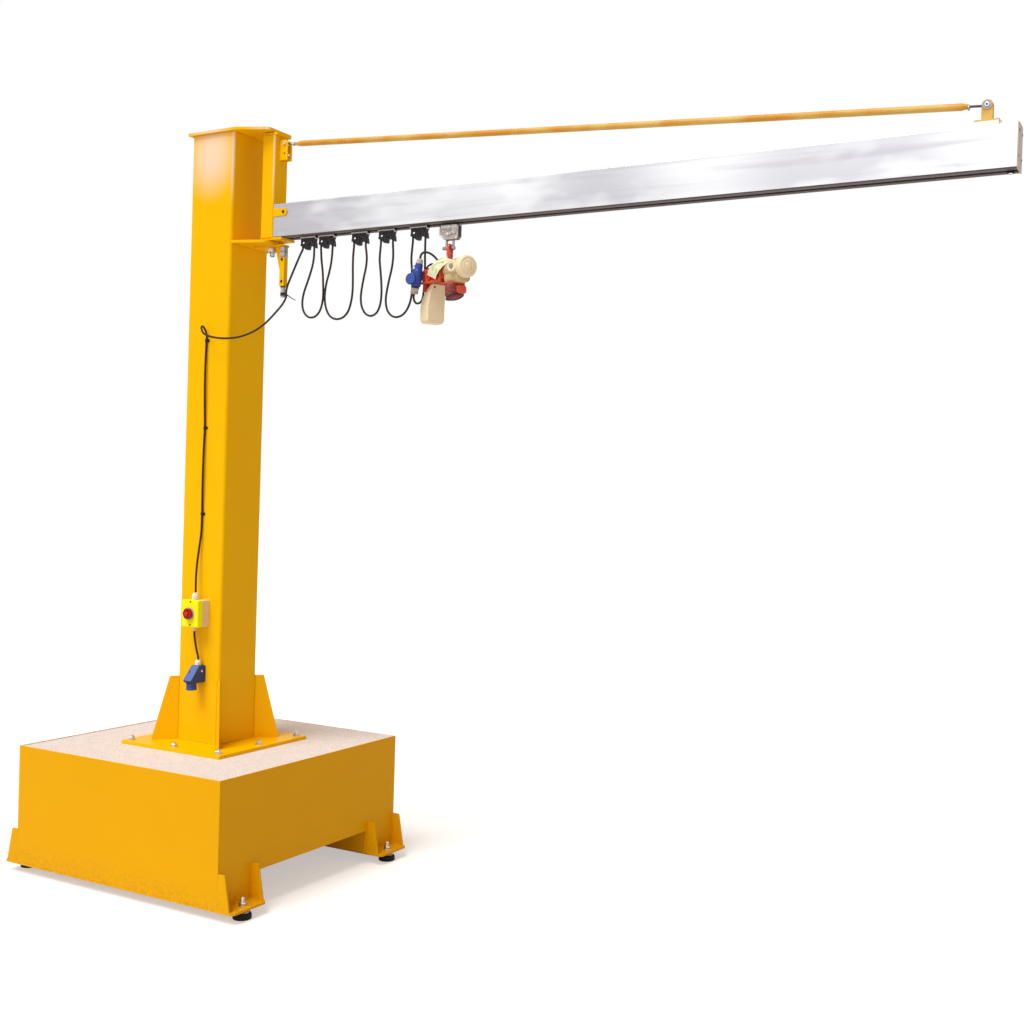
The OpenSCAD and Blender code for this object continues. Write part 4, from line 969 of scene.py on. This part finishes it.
dressed("tie_rod", rod_paint, 0.5)

# The ears and straps, and the beam's end plate with its screws and the stop under it
dressed("yoke_lugs", column_paint, 0.8)
cap = box("beam_end_cap")
stop_x, SCREW_HEIGHTS = cap[1].x - 28, (2803, 2884)
stop = at(stop_x, 0, beam_z)
build("beam_end_plate", "jib", [
    (slab(cap[1].y - cap[0].y, 149, 4, (beam[1].x, cap[1].x - 1.4), (0, beam_z + 72.5)),
     spin(90, "Z") @ spin(90, "X"), end_plate),
    *[(turned([(4.6, -3), (4.6, -0.6), (3.8, 0)], 16), at(cap[1].x, y, z) @ lying, dark_steel)
      for y in (-33, 33) for z in SCREW_HEIGHTS],
    (turned([(7.2, -7.4), (7.2, -6)], 32), stop, chrome),
    (turned([(7.8, -6.6), (8.4, -8), (10.4, -8), (11.4, -7), (11.4, 24)], 32), stop, rubber),
    (block((stop_x, -6, beam_z + 13), (beam[1].x, 6, beam_z + 21)), HERE, zinc)],
    ["beam_end_cap"], 0.6)

# The tie rod's bolts: round covers on the tip's lug, and the lock nut on the threaded rod
ROD_START, ROD_LOCK, FORK_X = Vector((314, 0, 3174)), Vector((3155, 0, 2982)), 3120
slope = (ROD_LOCK - ROD_START).normalized().to_track_quat("Z", "Y").to_matrix()
dressed("tie_rod_ends", lambda c: dark_steel if c.x > FORK_X and abs(c.y) < 4.1 else zinc,
        0.4, [
    (hex_nut(9.8, -3, 3.4), at(*ROD_LOCK) @ slope.to_4x4(), shackle_steel),
    *[(solid, at(tip_x, s * 13, tip_bolt_z) @ spin(-90 * s, "X"), skin)
      for s in SIDES for solid, skin in (
          (turned([(15.6, 0), (16, 0.4), (16, 1.8), (15.6, 2.2)]), shackle_steel),
          (hex_nut(9.4, 2, 7.4), zinc), (pin(3.4, 7, 8.6, 20), dark_steel))]])
bolts("tip_foot_bolts", "jib", [((tip_x + s * 33, 0, foot_top), (0, 0, 1)) for s in SIDES],
      8, 3, 10.4, 0.8, 4, 1, shackle_steel)
bolts("stop_screw", "jib", [((beam[1].x - 55, -10, beam_top), (0, 0, 1))], 5, 7, 7, 1, 4, 12,
      strip_steel)
bolts("strap_bolts", "jib", [((beam[0].x + 58, s * 45, beam_top - 38), (0, s, 0))
                             for s in SIDES], 10, 4, 13, 1.2, 6, 3, dark_steel)
YOKE_LOW, YOKE_HIGH, YOKE_FRONT, EAR_SEAM = 2765, 3207, 285, (3104, 3186)
welds("yoke_welds", "jib", [
    *[[(x, s * 46, z) for x in (222, 276)] for s in SIDES for z in (YOKE_LOW, YOKE_HIGH)],
    [(YOKE_FRONT, y, YOKE_HIGH) for y in (-36, 36)],
    *[[(YOKE_FRONT, s * 17, z) for z in EAR_SEAM] for s in SIDES]], 2.2)

# ------------------------------------------------------------ cable trolleys

wheel_z = beam_z + 17.8


def runner_set(x, spread, neck, foot_z):
    """Wheels on their axles inside the profile, and the neck that comes down through its slot."""
    rows = [(block((x - neck / 2, -5, foot_z), (x + neck / 2, 5, wheel_z + 7)), HERE, dark_steel)]
    wheel = turned([(11, -4.5), (13.4, -3), (13.4, 3), (11, 4.5)], 32)
    for u in (-spread / 2, spread / 2):
        rows += [(wheel, at(x + u, s * 17.5, wheel_z) @ facing, dark_steel) for s in SIDES]
        rows.append((pin(4, -21, 21, 16), at(x + u, 0, wheel_z) @ facing, zinc))
    return rows


def trolley_parts(x):
    """A moulded clamp under a steel strip, with its two legs for the cable."""
    rows = [(prism(outline, -half, half), at(x, 0, beam_z) @ facing, nylon) for half, outline in (
        (10.5, [(-35, -6), (33, -6), (38, -12), (34, -24), (38, -31), (35, -44), (19, -44),
                (16, -30), (8, -28), (2, -56), (-12, -56), (-24, -40), (-38, -40), (-38, -11)]),
        (12.8, [(-35, -6.5), (33, -6.5), (36.5, -12), (35, -16), (-36, -16)]),
        (12.8, [(-38, -30), (-14, -30), (-14, -40), (-38, -40)]),
        (9, [(33.4, -34), (38, -30), (41, -50), (37, -52), (33.4, -44)]),
        (12.4, [(-4, -20), (3, -20), (0, -54.5), (-8, -54.5)]),
        (12.4, [(-16, -16), (-10, -16), (-16, -52), (-21, -46)]))]
    rows += [(block((low, -half, deep), (41, half, -1.2)), at(x, 0, beam_z), strip_steel)
             for low, half, deep in ((-41, 12.9, -7.4), (37, 10, -13))]
    for s in SIDES:
        for u, w, r, skin in ((-21, -27, 5, chrome), (24, -22, 3.6, dark_steel)):
            rows.append((turned([(r, -4), (r, 1.4), (r * 0.86, 2.4), (r * 0.5, 3.2), (0, 3.4)],
                                24), at(x + u, s * -10.4, beam_z + w) @ spin(90 * s, "X"), skin))
    return rows + runner_set(x, 41.8, 60.8, beam_z - 8)


for number in range(1, 6):
    node = f"cable_trolley_{number}"
    spot = box(node)
    build(f"moulded_{node}", cad[node]["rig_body"], trolley_parts((spot[0].x + spot[1].x) / 2),
          [node], 0.7)

# ------------------------------------------------------------------- hoist

carrier = box("hoist_trolley")
hoist_x = (carrier[0].x + carrier[1].x) / 2
pin_z = beam_z - 50
hung = at(hoist_x, 0, beam_z) @ facing
rows = [(prism(outline, s * y - half, s * y + half), hung, skin) for y, half, skin, outline in (
    (12, 2, primer, [(-44, -8), (44, -8), (44, -54), (35, -66), (-22, -66), (-44, -48)]),
    (14.2, 1, strip_steel, [(-36, -8), (40, -8), (40, -21), (-36, -21)]),
    # A thin dark sheet where the plate has a slot: painted shade in place of an opening
    (14.6, 0.3, dark_steel, [(6, -46), (31, -43.6), (31, -46), (6, -48.4)]),
    (14.2, 0.5, primer, [(-33, -45), (39, -41), (39, -49), (-33, -54)])) for s in SIDES]
rows += [(prism([(-44, -8), (44, -8), (44, -12), (-44, -12)], -14, 14), hung, primer),
         (prism([(42, -12), (44.4, -12), (44.4, -52), (42, -54)], -9.6, 9.6), hung, nylon),
         (pin(6, -14, 14), at(hoist_x, 0, pin_z) @ facing, zinc)]
for s in SIDES:
    # The two flat dark discs stand for holes in the plate: painted shade; the raised one is a
    # chromed bolt head
    for u, w, r, rise, skin in ((-6, -43, 5.4, 3.4, chrome), (2, -50, 4.2, 0.3, dark_steel),
                                (33.5, -45, 4.4, 0.3, dark_steel)):
        rows.append((turned([(r, -2), (r, 0.4 * rise), (r * 0.8, rise)], 20),
                     at(hoist_x + u, s * -14.4, beam_z + w) @ spin(90 * s, "X"), skin))
build("pressed_hoist_trolley", CARRIAGE,
      rows + runner_set(hoist_x, 52.8, 70.4, beam_z - 12), ["hoist_trolley"], 0.5)
bolts("carrier_bolts", CARRIAGE, [
    ((hoist_x + u, s * 15, beam_z - 15), (0, s, 0)) for s in SIDES for u in (-29, 6)],
      9, 3.4, 11, 1, 5, 1.6)

motor = box("hoist_motor")
hoist_z = (motor[0].z + motor[1].z) / 2
HOIST = at(hoist_x, 0, hoist_z, -25)
ALONG = HOIST @ lying

# A chromed shackle on the trolley's pin, and the forged eye that hangs in it
cast_low, cast_high = [corner.z - hoist_z for corner in box("hoist_casting")]
eye_base = hoist_z + cast_high
shackle_pin = pin_z - 48
half_turn = [Vector((math.cos(a), 0, math.sin(a))) for a in [math.pi * k / 12 for k in range(13)]]
bow = [Vector((16, 0, -48)), *[p * 16 + Vector((0, 0, -6)) for p in half_turn],
       Vector((-16, 0, -48))]
eye_loop = [Vector((0, p.x, p.z)) * 12.4 + Vector((hoist_x, 0, shackle_pin - 1.4))
            for p in half_turn]
eye_loop += [Vector((hoist_x, y, shackle_pin - z)) for y, z in (
    (-12.4, 32), (-6, 46), (6, 46), (12.4, 32))]
across_pin = at(hoist_x, 0, shackle_pin) @ lying
build("shackle_and_forged_eye", CARRIAGE, [
    (tube(smooth([p + Vector((hoist_x, 0, pin_z + 0.2)) for p in bow], 3), 5.2, 12), HERE,
     shackle_steel),
    *[(turned([(8, -6), (9, -4), (9, 4), (8, 6)], 24),
       at(hoist_x + s * 16, 0, shackle_pin) @ lying, shackle_steel) for s in SIDES],
    (pin(4.6, -32, 20, 20), across_pin, shackle_steel),
    (turned([(7, -33), (7.4, -31), (5, -26)], 20), across_pin, shackle_steel),
    (tube(eye_loop, 6.8, 14, True), HERE, bright_red),
    (turned([(17, eye_base - 2), (17, eye_base + 4), (12, eye_base + 8), (8, eye_base + 14),
             (8, shackle_pin - 44), (0, shackle_pin - 42)], 32), at(hoist_x, 0), bright_red),
    (turned([(9, -7), (9.6, -5), (9.6, 5), (9, 7)], 24), at(hoist_x, 0, pin_z) @ facing,
     casting_red)], ["hoist_hook"], 0.6)


# The gear casting: crossed ribs on its side between a thick end block and a lower rim
def rib(a, b, thick, low_v, high_v):
    """A straight rib on the side of the casting from a to b, each (u, z)."""
    start, end = [Vector((u, 0, z)) for u, z in (a, b)]
    run = end - start
    over = Vector((-run.z, 0, run.x)).normalized() * thick / 2
    return loft([[p + Vector((0, v, 0)) for p in (start - over, end - over, end + over,
                                                  start + over)] for v in (low_v, high_v)])


rows = [(part("hoist_casting"), HERE, casting_red)]
rows += [(rib(a, b, thick, s * 38, s * (43 + proud)), HOIST, bright_red)
         for a, b, thick, proud in (
             ((-98, -36), (4, 12), 7, 4), ((-98, 6), (4, -34), 7, 4),
             ((-140, -42), (4, -42), 9, 5), ((-100, -40), (-100, 10), 8, 5),
             ((-48, -42), (-48, 14), 5, 3), ((2, -40), (2, 14), 7, 5)) for s in SIDES]
rows += [(slab(cast_high - cast_low - 4, 90, 22, (u, u + 5), (-(cast_high + cast_low) / 2, 0)),
          ALONG, bright_red) for u in (-138, -126, -114)]
rows += [(tube(smooth([(-132, -30, 16), (-112, -33, 26), (-84, -32, 32), (-58, -26, 26),
                       (-44, -20, 18)]), 4.2, 10), HOIST, dark_steel),
         (slab(28, 64, 6, (cast_low - 28, cast_low + 2), (-136, -2)), HOIST, casting_red),
         (turned([(45, 0), (46, 2), (46, 8), (45, 10)], 56), HOIST @ at(1, 0, 0) @ lying,
          casting_red)]
build("ribbed_hoist_casting", CARRIAGE, rows, ["hoist_casting"], 1.0)

# The motor: a drum that flares to its end cover, a capped boss at its side and a box below
boss = HOIST @ at(86, -27, 0) @ facing @ spin(14, "Y")
# The drum and the box under it use the darker cream: painted shade
build("hoist_motor_housing", CARRIAGE, [
    (turned([(39, 10), (39.6, 26), (41, 27), (41, 31), (39.8, 32), (41, 100), (43.6, 108),
             (44, 112)], 72), ALONG, sand),
    (turned([(43.4, 110), (44, 112), (44, 128), (43.4, 133), (41.4, 137), (38, 139.6),
             (34, 140.4), (31.4, 140.4), (30.4, 138.6), (28.6, 138.6), (27.6, 140.6), (26, 142),
             (19, 143), (17.8, 141.6), (16.4, 141.6), (15.2, 143.4), (13, 145), (0, 146)], 72),
     ALONG, cream),
    (turned([(23, -4), (23, 22), (21.6, 24), (19, 24.6), (18, 23), (13, 23)]), boss, cream),
    (hex_nut(11.4, 20, 27), boss, seal),
    (loft([rounded(h, w, r, u, (c, 0)) for u, h, w, r, c in (
        (12, 46, 60, 18, 34), (15, 50, 66, 20, 34), (104, 50, 66, 20, 34),
        (108, 44, 60, 18, 33))]), ALONG, sand)], ["hoist_motor"], 0.8)

cover_base = cast_low - 152
build("hoist_brake_cover", CARRIAGE, [
    (loft([rounded(lu, lv, r, z, (cu, cv), 6) for z, cu, lu, lv, r, cv in (
        (cast_low, -90.5, 16, 71, 4, 9), (cast_low - 21, -109, 39, 71, 4, 8),
        (cast_low - 40, -118, 51, 74, 4, 6), (cast_low - 58, -123.5, 58, 77, 4, 5),
        (cast_low - 85, -127, 61, 81, 4, 3), (cover_base + 10, -127, 61, 80, 4, 3),
        (cover_base + 1, -127, 55, 74, 5, 3), (cover_base - 4, -127, 44, 62, 6, 3))]), HOIST,
     cream),
    (turned([(4.4, -3), (4.4, 0.6), (3.4, 1.2)], 20),
     HOIST @ at(-85.5, -14, cast_low - 11) @ spin(72, "Y"), dark_steel)],
    ["hoist_cover"], 0.8)

# The chain bag hangs under the motor's box: full at the middle, its hem drawn in
BAG_U = 46


def sag_of(x, y):
    """How much higher the bag's hem hangs at a place."""
    return (x - BAG_U) * 0.28 + y * 0.12


def bag_ring(z, length, breadth, r, sag):
    ring = []
    for x, y, _ in rounded(length, breadth, r, 0, (BAG_U, 0), 10):
        fold = noise.noise(Vector((x / 13, y / 13, z / 30)))
        push = 1 + sag * 0.05 * fold
        ring.append((BAG_U + (x - BAG_U) * push, y * push,
                     z + 1.6 * sag * fold + sag_of(x, y) * min(1, (-57 - z) / 60)))
    return ring


bag = build("chain_bag_cloth", CARRIAGE, [(loft([bag_ring(*row) for row in (
    (-57, 58, 58, 12, 0.0), (-61, 63, 64, 14, 0.3), (-70, 67, 70, 17, 0.8),
    (-82, 68, 71, 19, 1.1), (-94, 68, 70, 20, 1.3), (-104, 65, 67, 20, 1.2),
    (-110, 58, 60, 19, 1.0), (-115, 44, 46, 15, 0.7), (-117, 22, 24, 8, 0.3))]), HOIST,
    bag_cloth)], ["chain_bag"])
rounder = bag.modifiers.new("rounder", "SUBSURF")
rounder.levels = rounder.render_levels = 1
build("chain_bag_rim", CARRIAGE, [
    (tube(rounded(62, 62, 13, -59.5, (BAG_U, 0), 8), 3.2, 8, True), HOIST, bright_red),
    (tube([(x, y, z + sag_of(x, y)) for x, y, z in rounded(60, 62, 22, -112, (BAG_U, 0), 8)],
          3.4, 8, True), HOIST, nylon),
    (loft([rounded(34, 44, 12, 68, (84, 8)), rounded(34, 44, 12, 84, (84, 8)),
           rounded(28, 38, 11, 88, (84, 8))]), ALONG, bright_red)])

# --------------------------------------------------------------- coupler

COUPLER = at(hoist_x - 158, -14, hoist_z - 89) @ spin(10, "Y")
spout = COUPLER @ at(-8, -12, 56) @ facing
build("in_line_coupler", CARRIAGE, [
    (turned([(10, 0), (14, 2), (15.4, 6), (15.6, 24)], 36), COUPLER, grey_ring),
    (pin(16.2, 4, 8, 36), COUPLER, seal),
    (hex_nut(17.4, 22, 31), COUPLER, nylon),
    (turned([(17, 30), (19.6, 34), (21, 44), (21.8, 64), (21.8, 90), (20, 94), (17, 98),
             (16, 104), (15.6, 120), (14, 124)], 48), COUPLER, blue),
    (turned([(12, 122), (13.4, 124), (13.4, 135), (11, 141), (7, 144)], 36), COUPLER, grey_ring),
    (turned([(19, 0), (19, 15), (22.6, 16), (23.4, 18), (23.4, 21), (21, 22)], 48), spout, blue),
    (turned([(20.4, 20), (20.4, 22.6), (18.4, 23.4), (17.4, 22.4)], 48), spout, blue_lid),
    (slab(34, 20, 6, (92, 99), (-9, -6)), COUPLER, blue_lid),
    (slab(24, 18, 6, (108, 113), (-8, -4)), COUPLER, blue)],
    ["cable_coupler"], 0.8)

# A bare tag tied to the eye, lying against the casting
low_left, low_right, top_right, top_left = [Vector(p) for p in (
    (-79, -56, -15), (-14, -56, -41), (50, -20, 34), (-22, -20, 56))]
thick = Vector((0, 0.5, 0))
sheets = []
for k in range(13):
    t = k / 12
    left, right = low_left.lerp(top_left, t), low_right.lerp(top_right, t)
    curl = Vector((0, -15 * math.sin(math.pi * t) + 1.0 * math.sin(2.2 * k), 0))
    sheets.append([left + curl, right + curl, right + curl + thick, left + curl + thick])
build("blank_tag", CARRIAGE, [
    (loft(sheets), HOIST, paper),
    (tube(smooth([(14, -22, 42), (10, -16, 54), (4, -8, 62), (0, -4, 74)]), 1.1, 6), HOIST,
     white)])


# ------------------------------------------------------------------- stage

def looked_at(tree):
    """1 for rays that look at a surface, straight, mirrored or through glass, 0 for its light."""
    ray = add(tree, "ShaderNodeLightPath", {}).outputs
    seen = calc(tree, "MAXIMUM", ray["Is Camera Ray"], ray["Is Glossy Ray"])
    return calc(tree, "MAXIMUM", seen, ray["Is Transmission Ray"])


FLOOR_GLOW, FLOOR_REACH, SKY_LIGHT = 0.46, 60, 0.37

# Pale ground: it takes shadows, and what looks at it sees it a little brighter
pale = bpy.data.materials.new("pale_floor")
tree = emptied(pale)
glow = calc(tree, "MULTIPLY", looked_at(tree), FLOOR_GLOW)
matt = output(tree, "ShaderNodeBsdfDiffuse", {"Color": srgb("#DADADA")})
light = output(tree, "ShaderNodeEmission", {"Color": srgb("#FFFFFF"), "Strength": glow})
both = output(tree, "ShaderNodeAddShader", {0: matt, 1: light})
add(tree, "ShaderNodeOutputMaterial", {"Surface": both})
floor = bpy.data.meshes.new("floor")
corners = [(x * FLOOR_REACH, y * FLOOR_REACH, 0) for x, y in ((-1, -1), (1, -1), (1, 1), (-1, 1))]
floor.from_pydata(corners, [], [(0, 1, 2, 3)])
floor.materials.append(pale)
placed("floor", floor)

# The light that falls on the crane is a little warm; what looks at the sky sees it white
world = bpy.data.worlds.new("studio")
bpy.context.scene.world = world
sky = emptied(world)
seen = looked_at(sky)
strength = ranged(sky, seen, 0.0, 1.0, SKY_LIGHT, 1.0)
hue = mixed(sky, seen, srgb("#FFE4C6"), srgb("#FFFFFF"))
back = output(sky, "ShaderNodeBackground", {"Color": hue, "Strength": strength})
add(sky, "ShaderNodeOutputWorld", {"Surface": back})

# A soft key from above, and a broad fill on the side that the switch is on
for name, energy, spread, travel in (("key", 2.6, 35, (0.25, 1.2, -2.1)),
                                     ("fill", 0.52, 60, (-0.15, 0.95, -0.25))):
    lamp = placed(name, bpy.data.lights.new(name, "SUN"))
    lamp.data.energy = energy
    lamp.data.angle = math.radians(spread)
    lamp.rotation_mode = "QUATERNION"
    lamp.rotation_quaternion = Vector(travel).to_track_quat("-Z", "Y")
